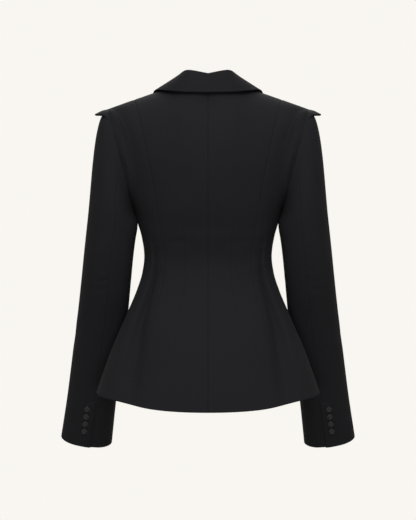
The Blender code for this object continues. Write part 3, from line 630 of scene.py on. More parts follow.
# Where the back half of the sleeve meets the armhole. Columns: angle round the sleeve, angle round the body
ARMHOLE_TURN = np.array((
    (0.0, BACK_SHOULDER_ANGLE), (20.0, 54.5), (45.0, 57.3), (72.0, 60.8),
    (98.0, 65.0), (125.0, 70.5), (152.0, 78.0), (180.0, SIDE_SEAM),
))
SIDE_BACK_CREASES = (
    (0.004, -0.262, 0.060, -0.272, 0.009, -0.0013),
    (0.010, -0.292, 0.066, -0.298, 0.010, -0.0012),
    (0.004, -0.326, 0.058, -0.320, 0.011, -0.0010),
)
# Fullness between the princess seam and the armhole. Columns: height, place sideways from the seam, outwards
SHOULDER_BLADE = np.array((
    (-0.225, 0.028, 0.0), (-0.170, 0.032, 0.0042), (-0.110, 0.034, 0.0062), (-0.055, 0.032, 0.0044),
    (-0.020, 0.030, 0.0),
))
SHOULDER_BLADE_REACH = 0.020
SHOULDER_BLADE_EDGE = 0.024
SIDE_STEPS = np.array((0.12, 0.3, 0.55, 0.95, 1.5, 2.3))
ARMHOLE_SEAM = (55.0, 63.0)
ARMHOLE_CENTRE = np.array((0.160, 0.0, -0.110))
ARMHOLE_RUN = 0.004
UNDERARM_Z = -0.233
UNDERARM_HALF = 0.019
UNDERARM_REACH = (0.012, 0.050)
UNDERARM_FULLNESS = 0.0016


def underarm(sideways, height):
    """Fullness of the cloth just below the armpit, where the sleeve and the side panels lie together."""
    low = (height - UNDERARM_Z) / UNDERARM_HALF
    return UNDERARM_FULLNESS * np.exp(-(low**2)) * (1 - ease(sideways, *UNDERARM_REACH))


def shoulder_blade(sideways, height, from_edge):
    """That fullness, which runs out at the armhole."""
    place, fullness = columns_at(SHOULDER_BLADE, height)
    away = (sideways - place) / SHOULDER_BLADE_REACH
    return fullness * np.exp(-(away**2)) * ease(from_edge, 0.0, SHOULDER_BLADE_EDGE)


def armhole_seam(turns, from_edge):
    """Shift of the cloth beside the armhole seam at these angles round the body; both sides sink in alike."""
    turns = np.array(turns)
    edges = np.array([top_edge(turn)[0] for turn in turns])
    fade = ease(np.minimum(turns, 2 * SIDE_SEAM - turns), *ARMHOLE_SEAM)[:, None]
    sink = fade * seam(from_edge, ARMHOLE_RUN * turns[:, None])
    return sink[..., None] * unit(edges - ARMHOLE_CENTRE)[:, None]


def body_turn(sleeve_angle):
    """Angle round the body of the armhole point that meets this angle round the sleeve."""
    half_turn = min(sleeve_angle, WHOLE_TURN - sleeve_angle)
    turn = float(columns_at(ARMHOLE_TURN, half_turn)[0])
    return turn if half_turn == sleeve_angle else 2 * SIDE_SEAM - turn


side_back_lines = spread(np.concatenate([
    graded(BACK_PRINCESS, BACK_SHOULDER_ANGLE, 12, 0.35, ("low",)),
    [body_turn(angle) for angle in np.linspace(0.0, 180.0, 46)], SIDE_SEAM - SIDE_STEPS,
]), LEAST_TURN)
side_back, normals = panel([pressed_rib(angle, BODY_SHARES) for angle in with_neighbours(side_back_lines)])
from_princess, from_side, from_hem, from_top = spans(side_back)
relief = seam(from_princess, from_hem) + seam(from_side, from_hem)
relief += creases(SIDE_BACK_CREASES, from_princess, side_back[..., 2])
relief += skirt_trough(from_princess, side_back[..., 2])
relief += back_shape(side_back_lines, side_back[..., 2])
relief += underarm(from_side, side_back[..., 2])
princess_x = np.interp(side_back[..., 2], side_back[0, :, 2], side_back[0, :, 0])
relief += shoulder_blade(side_back[..., 0] - princess_x, side_back[..., 2], from_top)
side_back = side_back + relief[..., None] * normals + armhole_seam(side_back_lines, from_top)
wall = turned_up(from_hem, HEM_TURN)
sew_pair("side_back", side_back, normals, wall, ("bottom",))

# Side front panels: from the side seam to the front princess seam, with the front half of the armhole.
# The same wool; the bust shape comes from the curve of the princess seam, with no dart of its own.
FRONT_LAP = 0.018
BREAK_Z = -0.270
ROLL_LEAN = 0.226
NECK_END = np.array((0.0715, -0.0025, 0.0262))
NECK_PULL = np.array((0.110, 0.140, 0.170))
LAP_OFFSET = 0.0019
LAP_EASE = (0.022, 0.050)
UNDER_LAP = -1
OVER_LAP = 1
NEIGHBOUR_SHARE = 0.006
SIDE_FRONT_CREASES = (
    (0.006, -0.266, 0.058, -0.258, 0.010, -0.0012),
    (0.002, -0.300, 0.060, -0.294, 0.010, -0.0013),
    (0.008, -0.328, 0.066, -0.334, 0.011, -0.0010),
    (0.012, -0.160, 0.046, -0.205, 0.012, -0.0012),
)


def front_angle(share, z):
    """Angle round the body at this share of the way from the front princess seam to the front's edge, which
    is the lap below the lapel's break and the roll line above it."""
    half = columns_at(BODY_SECTIONS, z)[0]
    princess = half * math.sin(math.radians(FRONT_PRINCESS)) ** (2 / FRONT_ROUND)
    edge = -FRONT_LAP + ROLL_LEAN * np.maximum(z - BREAK_Z, 0.0)
    x = princess + share * (edge - princess)
    return CENTRE_FRONT - np.degrees(np.arcsin(np.sign(x) * (np.abs(x) / half) ** (FRONT_ROUND / 2)))


def front_rib(share, lap):
    """Line on a front from the hem to the shoulder; share runs from the princess seam to the edge."""
    z = np.linspace(hem_z(front_angle(share, np.array(HEM_SIDE_Z))), ARMPIT_Z, RIB_SAMPLES)
    lower = body_point(front_angle(share, z), z)
    lower[:, 1] -= LAP_OFFSET * lap * (1 - ease(lower[:, 0], *LAP_EASE))
    princess, princess_pull = top_edge(FRONT_PRINCESS)
    point = princess + share * (NECK_END - princess)
    return rise(lower, point, princess_pull + share * (NECK_PULL - princess_pull))


side_front_lines = spread(np.concatenate([
    SIDE_SEAM + SIDE_STEPS, [body_turn(angle) for angle in np.linspace(180.0, 360.0, 46)],
    graded(FRONT_SHOULDER_ANGLE, FRONT_PRINCESS, 12, 0.35, ("high",)),
]), LEAST_TURN)
ribs = [pressed_rib(angle, BODY_SHARES) for angle in with_neighbours(side_front_lines)[:-1]]
side_front, normals = panel(ribs + [along(front_rib(NEIGHBOUR_SHARE, 0), BODY_SHARES)])
from_side, from_princess, from_hem, from_top = spans(side_front)
relief = seam(from_side, from_hem) + seam(from_princess, from_hem)
relief += creases(SIDE_FRONT_CREASES, from_side, side_front[..., 2])
relief += underarm(from_side, side_front[..., 2])
side_front = side_front + relief[..., None] * normals + armhole_seam(side_front_lines, from_top)
wall = turned_up(from_hem, HEM_TURN)
sew_pair("side_front", side_front, normals, wall, ("bottom",))

# Fronts: from the front princess seam to the lapped edge, with the neck cut along the lapel's roll line.
# Fused wool with a clean folded edge; the right front laps over the left and is held by one button.
FRONT_CREASES = (
    (0.030, -0.262, 0.102, -0.283, 0.010, -0.0010),
    (0.026, -0.318, 0.100, -0.292, 0.011, -0.0010),
)
LAPS = (("left", UNDER_LAP, 1.0), ("right", OVER_LAP, MIRROR))

front_shares = with_neighbours(graded(0.0, 1.0, 34, 0.012, ("low", "high")))
for side, lap, turn in LAPS:
    front, normals = panel([along(front_rib(share, lap), BODY_SHARES) for share in front_shares])
    from_princess, _, from_hem, from_top = spans(front)
    relief = seam(from_princess, from_hem) + seam(from_top, from_princess)
    relief += creases(FRONT_CREASES, from_princess, front[..., 2])
    front = front + relief[..., None] * normals
    wall = turned_up(from_hem, HEM_TURN)
    sew_in(f"front_{side}", front, normals, turn, wall, ("bottom", "end"))

# Sleeves: a top sleeve over the outside of the arm and an under sleeve inside it, joined by a back and a
# front seam and eased into the armhole. At the cuff the back seam opens into a vent: the top sleeve's
# folded edge lies over the under sleeve.
SLEEVE_ROUND = 2.15
SLEEVE_SEAM = 0.7
SLEEVE_RISE = 1.15
CUFF_TURN = 0.040
VENT_LENGTH = 0.097
VENT_LIFT = 0.0010
VENT_SINK = 0.0015
VENT_EASE = 0.006
VENT_OVERLAP = (0.008, 0.022)
BACK_CORNER_SPREAD = 25.0
SKIRT_TOP_Z = -0.340
SKIRT_NEAR = 0.025
SKIRT_CLEAR = 0.0011
SKIRT_PRESS = 0.0012
WING_SPREAD = 42.0
WING_SEAT_DEPTH = 0.0034
WING_SEAT = (0.003, 0.024)
WING_SEAT_ENDS = (0.25 * WING_SPREAD, 0.85 * WING_SPREAD)

# Sleeve axis from cuff to biceps. Columns: centre, half width across, half depth front to back
SLEEVE_SECTIONS = np.array((
    (0.2380, -0.129, -0.652, 0.0500, 0.0400),
    (0.2265, -0.101, -0.572, 0.0478, 0.0440),
    (0.2140, -0.071, -0.482, 0.0472, 0.0480),
    (0.2030, -0.045, -0.405, 0.0470, 0.0515),
    (0.1955, -0.022, -0.340, 0.0462, 0.0545),
    (0.1890, -0.007, -0.282, 0.0460, 0.0575),
    (0.1822, 0.001, -0.228, 0.0465, 0.0600),
))
# Fullness of the pressed sleeve behind the inside of the arm. Columns: height, angle round it, outwards
BACK_CORNER = np.array((
    (-0.545, 108.0, 0.0), (-0.500, 116.0, 0.003), (-0.450, 131.0, 0.005), (-0.400, 146.0, 0.007),
    (-0.250, 146.0, 0.007), (-0.215, 146.0, 0.0),
))
# How the sleeve's cloth arrives at the armhole. Columns: angle round the sleeve, pull
SLEEVE_HEAD = np.array((
    (0.0, -0.085, 0.000, 0.010),
    (45.0, -0.070, -0.012, 0.020),
    (95.0, -0.045, -0.006, 0.050),
    (140.0, -0.012, 0.000, 0.030),
    (180.0, -0.001, 0.000, 0.012),
    (220.0, -0.012, 0.000, 0.030),
    (265.0, -0.045, 0.006, 0.050),
    (315.0, -0.070, 0.012, 0.020),
    (360.0, -0.085, 0.000, 0.010),
))
# Creases of the elbow and the upper arm; the top sleeve counts across from the back seam, the under
# sleeve from the front seam
TOP_SLEEVE_CREASES = (
    (0.000, -0.337, 0.034, -0.345, 0.006, -0.0013),
    (0.002, -0.354, 0.040, -0.359, 0.007, -0.0012),
    (0.006, -0.318, 0.030, -0.324, 0.006, -0.0009),
    (0.108, -0.350, 0.176, -0.336, 0.009, -0.0020),
    (0.116, -0.378, 0.176, -0.368, 0.010, -0.0018),
    (0.122, -0.318, 0.176, -0.304, 0.009, -0.0015),
    (0.030, -0.420, 0.100, -0.455, 0.020, -0.0010),
    (0.060, -0.130, 0.085, -0.210, 0.018, -0.0010),
)
UNDER_SLEEVE_CREASES = (
    (0.000, -0.338, 0.056, -0.326, 0.009, -0.0019),
    (0.000, -0.370, 0.060, -0.360, 0.010, -0.0017),
    (0.000, -0.304, 0.046, -0.296, 0.009, -0.0014),
    (0.092, -0.346, 0.130, -0.338, 0.007, -0.0011),
    (0.030, -0.222, 0.050, -0.290, 0.011, -0.0016),
    (0.075, -0.220, 0.082, -0.290, 0.011, -0.0015),
)


def sleeve_rib(angle):
    """Line on the sleeve from the cuff to the armhole seam, at one angle round the arm."""
    angle = angle % WHOLE_TURN
    centres, half, depth = SLEEVE_SECTIONS[:, :3], SLEEVE_SECTIONS[:, 3:4], SLEEVE_SECTIONS[:, 4:5]
    tangents = unit(np.gradient(centres, axis=0))
    outer = unit(np.array((1.0, 0.0, 0.0)) - tangents[:, :1] * tangents)
    backward = np.cross(tangents, outer)
    cosine, sine = math.cos(math.radians(angle)), math.sin(math.radians(angle))
    power = 2 / SLEEVE_ROUND
    wide = half * math.copysign(abs(cosine) ** power, cosine)
    deep = depth * math.copysign(abs(sine) ** power, sine)
    rings = centres + wide * outer + deep * backward
    steps = lengths(rings)
    lower = rounded(np.linspace(0, steps[-1], RIB_SAMPLES), steps, rings)
    end = top_edge(body_turn(angle))[0]
    pull = np.array([np.interp(angle, SLEEVE_HEAD[:, 0], column) for column in SLEEVE_HEAD[:, 1:].T])
    start_pull = unit(lower[-1] - lower[-2]) * np.linalg.norm(end - lower[-1]) * SLEEVE_RISE
    share = np.linspace(0, 1, RIB_SAMPLES)[1:, None]
    return np.concatenate([lower, hermite(share, lower[-1], start_pull, end, pull)])


def back_corner(angles, height):
    """That fullness at these angles round the sleeve, which makes its back flatter there."""
    place, fullness = columns_at(BACK_CORNER, height)
    return fullness * np.exp(-(((angles[:, None] - place) / BACK_CORNER_SPREAD) ** 2))


def cloth_faces(points):
    """Outer face of a piece of cloth, as something that finds its nearest point."""
    return BVHTree.FromPolygons(points.reshape(-1, 3).tolist(), cloth_quads(*points.shape[:2]).tolist())


def pressed_by_skirt(points):
    """Shift of the sleeve's cloth where it lies against the skirt, which keeps the two just clear."""
    shift = np.zeros_like(points)
    for i, j in np.argwhere(points[..., 2] < SKIRT_TOP_Z):
        place = Vector(points[i, j])
        found = [faces.find_nearest(place, SKIRT_NEAR) for faces in skirt_faces]
        found = [hit for hit in found if hit[0] is not None]
        if found:
            near, facing, _, _ = min(found, key=lambda hit: hit[3])
            facing = facing if facing.x > 0 else -facing
            short = SKIRT_CLEAR - (place - near).dot(facing)
            shift[i, j] = (short + math.hypot(short, SKIRT_PRESS)) / 2 * facing
    return shift


def under_wing(angles):
    """How far the sleeve head is pressed down below the shoulder wing, at these angles round the arm."""
    return WING_SEAT_DEPTH * (1 - ease(np.abs(angles), *WING_SEAT_ENDS))


skirt_faces = [cloth_faces(side_back), cloth_faces(side_front)]
SLEEVE_SHARES = graded(0.0, 1.0, 150, 0.0014, ("low", "high"))
# Columns: name, angles round the sleeve from seam to seam, number of lines, creases, step at the vent
SLEEVE_CUTS = (
    ("top_sleeve", FRONT_ARM_SEAM - WHOLE_TURN, BACK_ARM_SEAM, 64, TOP_SLEEVE_CREASES, VENT_LIFT),
    ("under_sleeve", BACK_ARM_SEAM, FRONT_ARM_SEAM, 48, UNDER_SLEEVE_CREASES, -VENT_SINK),
)
for name, first_seam, last_seam, count, table, vent_step in SLEEVE_CUTS:
    angles = with_neighbours(graded(first_seam, last_seam, count, 1.0, ("low", "high"))[::-1])
    sleeve, normals = panel([along(sleeve_rib(angle), SLEEVE_SHARES) for angle in angles])
    from_first, from_last, from_cuff, from_top = spans(sleeve)
    from_back, from_front = (from_first, from_last) if name == "top_sleeve" else (from_last, from_first)
    vent = 1 - ease(from_cuff, VENT_LENGTH - VENT_EASE, VENT_LENGTH)
    turns = [body_turn(angle % WHOLE_TURN) for angle in angles[1:-1]]
    relief = SLEEVE_SEAM * ((1 - vent) * seam(from_back, from_cuff) + seam(from_front, from_cuff))
    relief += vent_step * vent * (1 - ease(from_back, *VENT_OVERLAP))
    relief += creases(table, from_first, sleeve[..., 2]) + back_corner(angles[1:-1], sleeve[..., 2])
    if name == "under_sleeve":
        inside = np.abs(from_first - from_last) / 2
        relief += underarm(inside, sleeve[..., 2])
    relief -= under_wing(angles[1:-1])[:, None] * (1 - ease(from_top, *WING_SEAT))
    sleeve = sleeve + relief[..., None] * normals + armhole_seam(turns, from_top)
    sleeve = sleeve + pressed_by_skirt(sleeve)
    wall = turned_up(from_cuff, CUFF_TURN)
    free = ("bottom", "start") if name == "top_sleeve" else ("bottom",)
    sew_pair(name, sleeve, normals, wall, free)

# Shoulder wings: pointed crescents of stiffened wool, caught in the armhole seam so that they carry the
# shoulder line out over the sleeve heads like small caps.
WING_CLOTH = 0.0022
WING_REACH = 0.0275
WING_END_REACH = 0.0015
WING_TAPER = 2.4
WING_SLOPE = math.radians(-27.0)
WING_LIFT = 0.0030
WING_LIFT_SHARES = (-0.05, 0.55)
WING_SINK = 0.0006
LOOSE_EDGES = ("start", "end", "top")
wing_flare = np.array((math.cos(WING_SLOPE), 0.0, math.sin(WING_SLOPE)))
wing_shares = graded(0.0, 1.0, 15, 0.03, ("high",))
wing_lines = []
wing_levels = []
for angle in np.linspace(-WING_SPREAD, WING_SPREAD, 71):
    rib = sleeve_rib(angle)
    on_sleeve = unit(along(rib, [1 - 0.004])[0] - rib[-1])
    level = math.cos(math.radians(90 * angle / WING_SPREAD))
    reach = WING_END_REACH + (WING_REACH - WING_END_REACH) * level**WING_TAPER
    direction = unit(on_sleeve * (1 - level**2) + wing_flare * level**2)
    wing_lines.append(rib[-1] + reach * wing_shares[:, None] * direction)
    wing_levels.append(level)
wing = np.array(wing_lines)
normals = outward(wing)
normals *= np.sign(normals[len(wing) // 2, 0, 2])
wing_levels = np.array(wing_levels)[:, None]
lift = WING_LIFT * wing_levels**2 * ease(wing_shares, *WING_LIFT_SHARES)
wing = wing + (lift - WING_SINK * (1 - wing_levels))[..., None] * normals
sew_pair("shoulder_wing", wing, normals, WING_CLOTH, LOOSE_EDGES)

# Lapels: the upper part of each front, turned back on a soft roll and pressed. The roll bulges round the
# front's edge, and the outer edge is turned and pressed flat.
LAPEL_CLOTH = 0.0022
LAY_GAP = 0.0006
LAPEL_CORNER = np.array((0.0760, 0.0930))
LAPEL_BELLY = 0.0045
ROLL_STEPS = 9
ROLL_FLAT = 0.8
# Left, then right. Columns: roll line and lower end of the outer edge, as distances from the edge and down
LAPEL_CUTS = (
    (((0.0160, 0.2840), (0.0015, 0.2570), (0.0010, 0.0665)), (0.0200, 0.2820)),
    (((0.0010, 0.3200), (0.0010, 0.0665)), (0.0050, 0.3180)),
)


def front_finder(lap):
    """Function that gives (point, across, normal) on a front, by (distance from its edge, down)."""
    shares, heights = np.linspace(-0.05, 1.0, 106), np.linspace(0.0, 1.0, 500)
    sheet = np.array([along(front_rib(share, lap), heights) for share in shares])
    edge, princess = sheet[-1], sheet[int(np.argmin(np.abs(shares)))]
    edge_length = lengths(edge)[-1]

    def at(share, height):
        x = np.clip((share - shares[0]) / (shares[1] - shares[0]), 0, len(shares) - 1.000001)
        y = np.clip(height * (len(heights) - 1), 0, len(heights) - 1.000001)
        i, j = int(x), int(y)
        low = sheet[i, j] + (sheet[i, j + 1] - sheet[i, j]) * (y - j)
        high = sheet[i + 1, j] + (sheet[i + 1, j + 1] - sheet[i + 1, j]) * (y - j)
        return low + (high - low) * (x - i)

    def find(place):
        distance, down = place
        height = 1 - down / edge_length
        row = min(max(int(round(height * (len(heights) - 1))), 0), len(heights) - 1)
        share = 1 - distance / np.linalg.norm(edge[row] - princess[row])
        step = 0.012
        low = min(share, 1.0 - step)
        across = unit(at(low - step, height) - at(low + step, height))
        up = unit(at(share, min(height + step, 1.0)) - at(share, height - step))
        return at(share, height), across, unit(np.cross(across, up))

    return find


for (side, lap, turn), (roll, tip) in zip(LAPS, LAPEL_CUTS):
    find = front_finder(lap)
    roll = np.column_stack([np.array(roll), np.zeros(len(roll))])
    shares = graded(0.0, 1.0, 56, 0.004, ("low", "high"))
    points = []
    for share, inner in zip(shares, along(roll, shares)[:, :2]):
        outer = np.array(tip) + (LAPEL_CORNER - tip) * share + (LAPEL_BELLY * math.sin(math.pi * share), 0.0)
        point, across, normal = find(inner)
        radius = (LAY_GAP + LAPEL_CLOTH + CLOTH) / 2
        bend = np.linspace(-math.pi / 2, math.pi / 2, ROLL_STEPS)[:-1, None]
        centre = point + normal * (radius - CLOTH)
        row = list(centre - ROLL_FLAT * radius * np.cos(bend) * across + radius * np.sin(bend) * normal)
        for q in graded(0.0, 1.0, 18, 0.006, ("high",)):
            point, across, normal = find(inner + (outer - inner) * q)
            row.append(point + (LAY_GAP + LAPEL_CLOTH) * normal)
        points.append(row)
    lapel = np.array(points)
    normals = outward(lapel)
    normals *= -np.sign(normals[len(lapel) // 2, -3, 1])
    sew_in(f"lapel_{side}", lapel, normals, turn, LAPEL_CLOTH, LOOSE_EDGES)

# Collar: one long piece sewn to the neckline, standing up on its inner half and folded over so that its
# outer half falls over the neck seam. The ends lie on the lapels and leave a notch.
COLLAR_CLOTH = 0.0022
# Columns: place along the half collar, angle of the neckline that it is sewn to, fold, outer edge
COLLAR_BACK = (
    (0.00, 0.0, (0.000, 0.0535, 0.0485), (0.000, 0.0730, 0.0120)),
    (0.17, 10.0, (0.0335, 0.0465, 0.0552), (0.046, 0.0640, 0.0135)),
    (0.34, 19.0, (0.0455, 0.0300, 0.0540), (0.0805, 0.0360, 0.0185)),
    (0.52, 26.6, (0.0505, 0.0020, 0.0470), (0.1005, 0.0030, 0.0210)),
)
# Columns: place, fold and outer edge as distances across a front and down from the shoulder, lift of the fold
COLLAR_FRONT = (
    (0.76, (-0.004, 0.032), (0.052, 0.036), 0.0110),
    (1.00, (0.001, 0.064), (0.066, 0.070), 0.0060),
)
COLLAR_NOTCH = np.array((0.040, 0.0785))
COLLAR_NOTCH_SHARE = 0.62
COLLAR_EDGE_LIFT = 0.0042
COLLAR_FOLD_RADIUS = 0.0047
COLLAR_FRONT_TURN = math.radians(78.0)
COLLAR_BULGE = 0.0010
SEAM_GAP = 0.0003
COLLAR_STATIONS = 61
STAND_SHARES = np.linspace(0.0, 1.0, 9)[:-1, None]
FOLD_STEPS = 15
FALL_SHARES = np.unique(np.append(np.linspace(0.0, 1.0, 21)[1:], (COLLAR_NOTCH_SHARE, 0.975, 0.99)))


def tangent_turn(point, centre, outer, up, side):
    """Where a line from the point meets the round of the fold, as an angle from the outer direction."""
    offset = point - centre
    flat = np.array((offset @ outer, offset @ up))
    return math.atan2(flat[1], flat[0]) + side * math.acos(COLLAR_FOLD_RADIUS / np.linalg.norm(flat))


def fold_arc(centre, outer, up, start, end):
    turn = np.linspace(start, end, FOLD_STEPS)[:, None]
    return centre + COLLAR_FOLD_RADIUS * (np.cos(turn) * outer + np.sin(turn) * up)


def collar_back_section(neck_angle, fold, edge):
    """Line of the collar's outer face behind the shoulder: neck seam, stand, fold, fall and edge."""
    fold, edge = np.array(fold), np.array(edge)
    outer = unit((edge - fold) * (1.0, 1.0, 0.0))
    up = np.array((0.0, 0.0, 1.0))
    sewn = top_edge(neck_angle)[0] - outer * (COLLAR_CLOTH - SEAM_GAP)
    centre = fold - COLLAR_FOLD_RADIUS * up
    start = tangent_turn(sewn, centre, outer, up, -1) + 2 * math.pi
    arc = fold_arc(centre, outer, up, start, tangent_turn(edge, centre, outer, up, 1))
    lifted = unit(np.cross(np.cross(edge - arc[-1], up), edge - arc[-1]))
    share = FALL_SHARES[:, None]
    fall = arc[-1] + (edge - arc[-1]) * share + COLLAR_BULGE * np.sin(math.pi * share) * np.abs(lifted)
    return np.concatenate([sewn + (arc[0] - sewn) * STAND_SHARES, arc, fall])


def collar_front_section(place, fold, edge, lift, find):
    """The same line on a front, where the fall lies on the panel and the stand runs out."""
    fold, edge = np.array(fold), np.array(edge)
    point, across, normal = find(fold)
    arc = fold_arc(point + (lift - COLLAR_FOLD_RADIUS) * normal, across, normal, math.pi, COLLAR_FRONT_TURN)
    sewn = point - across * COLLAR_FOLD_RADIUS
    past_fold = np.array((COLLAR_FOLD_RADIUS * math.cos(COLLAR_FRONT_TURN), 0.0))
    drop = lift - COLLAR_FOLD_RADIUS * (1 - math.sin(COLLAR_FRONT_TURN)) - COLLAR_EDGE_LIFT
    fall = []
    for q in FALL_SHARES:
        spot = fold + (edge - fold) * q
        if place == 1.0 and q <= COLLAR_NOTCH_SHARE:
            spot = fold + (COLLAR_NOTCH - fold) * q / COLLAR_NOTCH_SHARE
        elif place == 1.0:
            spot = COLLAR_NOTCH + (edge - COLLAR_NOTCH) * (q - COLLAR_NOTCH_SHARE) / (1 - COLLAR_NOTCH_SHARE)
        point, _, normal = find(spot + (1 - q) * past_fold)
        fall.append(point + normal * (COLLAR_EDGE_LIFT + drop * (1 - q) ** 2))
    return np.concatenate([sewn + (arc[0] - sewn) * STAND_SHARES, arc, np.array(fall)])


stations = graded(0.0, 1.0, COLLAR_STATIONS, 0.0025, ("high",))
places = np.array([row[0] for row in COLLAR_BACK + COLLAR_FRONT])
halves = []
for _, lap, turn in LAPS:
    find = front_finder(lap)
    rows = [collar_back_section(*row[1:]) for row in COLLAR_BACK]
    rows += [collar_front_section(*row, find) for row in COLLAR_FRONT]
    halves.append(rounded(stations, places, np.array(rows)) * turn)
collar = np.concatenate([halves[1][:0:-1], halves[0]])
normals = outward(collar)
normals *= np.sign(normals[len(collar) // 2, len(STAND_SHARES) + FOLD_STEPS // 2, 2])
sew_in("collar", collar, normals, 1.0, COLLAR_CLOTH, LOOSE_EDGES)

# Cuff buttons: four small dished buttons of polished black horn on each cuff, beside the vent. Each is
# turned with a raised rim, drilled with four holes, and sewn down through them with black thread. A short
# row of stitches closes the top of the vent.
CUFF_BUTTON_RADIUS = 0.0058
CUFF_BUTTON_PITCH = 0.0159
CUFF_BUTTON_FIRST = 0.0340
CUFF_BUTTON_INSET = 0.0110
CUFF_BUTTONS = 4
BUTTON_THICKNESS = 0.40
BUTTON_SIDES = 48
BUTTON_HOLE = 0.090
BUTTON_HOLE_PLACE = 0.185
BUTTON_FLOOR = 0.24
BAR_SIZE = (0.13, 0.13, 0.56)
STITCH_SIZE = (0.0006, 0.0006, 0.0026)
STITCH_SIDES = 9
VENT_TACK = ((98.0, 0.0970), (79.0, 0.0905))
VENT_TACK_STITCHES = 6
THREAD_DARK = (0.0090, 0.0092, 0.0105, 1.0)
THREAD_LIGHT = (0.0200, 0.0204, 0.0230, 1.0)
HORN_DARK = (0.0035, 0.0035, 0.0038, 1.0)
HORN_LIGHT = (0.0085, 0.0083, 0.0086, 1.0)
# Columns: share of the radius, share of the thickness
BUTTON_PROFILE = (
    (0.00, 0.52), (0.30, 0.52), (0.48, 0.55), (0.58, 0.64), (0.66, 0.80), (0.73, 0.93), (0.80, 0.99),
    (0.87, 0.99), (0.93, 0.93), (0.98, 0.81), (1.00, 0.66), (0.99, 0.50), (0.95, 0.32), (0.84, 0.15),
    (0.62, 0.03), (0.00, 0.00),
)


def turned_button():
    """Button of radius 1, lying on its back at the origin: a turned profile with four drilled holes."""
    turning = bmesh.new()
    profile = [turning.verts.new((r, 0.0, h * BUTTON_THICKNESS)) for r, h in BUTTON_PROFILE]
    edges = [turning.edges.new(pair) for pair in zip(profile, profile[1:])]
    bmesh.ops.spin(
        turning, geom=profile + edges, cent=(0, 0, 0), axis=(0, 0, 1), angle=2 * math.pi, steps=BUTTON_SIDES
    )
    bmesh.ops.remove_doubles(turning, verts=turning.verts, dist=1e-5)
    bmesh.ops.recalc_face_normals(turning, faces=turning.faces)
    blank = bpy.data.meshes.new("button_blank")
    turning.to_mesh(blank)
    turning.free()
    drilling = bmesh.new()
    for x in (-BUTTON_HOLE_PLACE, BUTTON_HOLE_PLACE):
        for y in (-BUTTON_HOLE_PLACE, BUTTON_HOLE_PLACE):
            drill = bmesh.ops.create_cone(
                drilling, cap_ends=True, segments=16, radius1=BUTTON_HOLE, radius2=BUTTON_HOLE, depth=1.0
            )
            bmesh.ops.translate(drilling, verts=drill["verts"], vec=(x, y, 0.0))
    drills = bpy.data.meshes.new("button_drills")
    drilling.to_mesh(drills)
    drilling.free()
    button, holes = in_studio("button_blank", blank), in_studio("button_drills", drills)
    drilled = button.modifiers.new("drilled", "BOOLEAN")
    drilled.operation = "DIFFERENCE"
    drilled.solver = "EXACT"
    drilled.object = holes
    made = bpy.data.meshes.new_from_object(button.evaluated_get(bpy.context.evaluated_depsgraph_get()))
    made.shade_smooth()
    made.set_sharp_from_angle(angle=math.radians(42))
    for item in (button, holes):
        bpy.data.objects.remove(item)
    return made


def sewn_on_tree():
    """Puts one piece on each seat, turned to the seat's own direction and scaled to its size."""
    tree = bpy.data.node_groups.new("sewn_on", "GeometryNodeTree")
    for name, kind in (
        ("Seats", "Geometry"), ("Piece", "Object"), ("Size", "Vector"), ("Finish", "Material"),
    ):
        tree.interface.new_socket(name, in_out="INPUT", socket_type=f"NodeSocket{kind}")
    tree.interface.new_socket("Sewn", in_out="OUTPUT", socket_type="NodeSocketGeometry")
    given = add_node(tree, "NodeGroupInput").outputs
    shape = add_node(tree, "GeometryNodeObjectInfo", {"Object": given["Piece"]}).outputs["Geometry"]
    facing = add_node(tree, "GeometryNodeInputNamedAttribute", data_type="FLOAT_VECTOR")
    plug(facing, {"Name": "seat_direction"})
    turned = add_node(tree, "FunctionNodeAlignRotationToVector", axis="Z")
    plug(turned, {"Vector": facing.outputs["Attribute"]})
    placed = add_node(tree, "GeometryNodeInstanceOnPoints", {
        "Points": given["Seats"], "Instance": shape,
        "Rotation": turned.outputs["Rotation"], "Scale": given["Size"],
    }).outputs["Instances"]
    joined = add_node(tree, "GeometryNodeRealizeInstances", {"Geometry": placed}).outputs["Geometry"]
    finished = add_node(tree, "GeometryNodeSetMaterial", {"Geometry": joined, "Material": given["Finish"]})
    add_node(tree, "NodeGroupOutput", {"Sewn": finished.outputs["Geometry"]})
    return tree


sewing = sewn_on_tree()


def sewn_on(name, seats, directions, template, size, finish):
    """Object with the template on every seat, as one plain mesh."""
    mesh = bpy.data.meshes.new(name + "_seats")
    mesh.from_pydata(np.asarray(seats).tolist(), [], [])
    facing = mesh.attributes.new("seat_direction", "FLOAT_VECTOR", "POINT")
    facing.data.foreach_set("vector", np.asarray(directions, np.float32).ravel())
    pattern, holder = in_studio(name + "_pattern", template), in_studio(name + "_seats", mesh)
    modifier = holder.modifiers.new("sewn_on", "NODES")
    modifier.node_group = sewing
    values = {"Piece": pattern, "Size": size, "Finish": finish}
    for socket in sewing.interface.items_tree:
        if socket.name in values:
            modifier[socket.identifier] = values[socket.name]
    made = bpy.data.meshes.new_from_object(holder.evaluated_get(bpy.context.evaluated_depsgraph_get()))
    made.name = name
    for item in (pattern, holder):
        bpy.data.objects.remove(item)
    return in_studio(name, made)


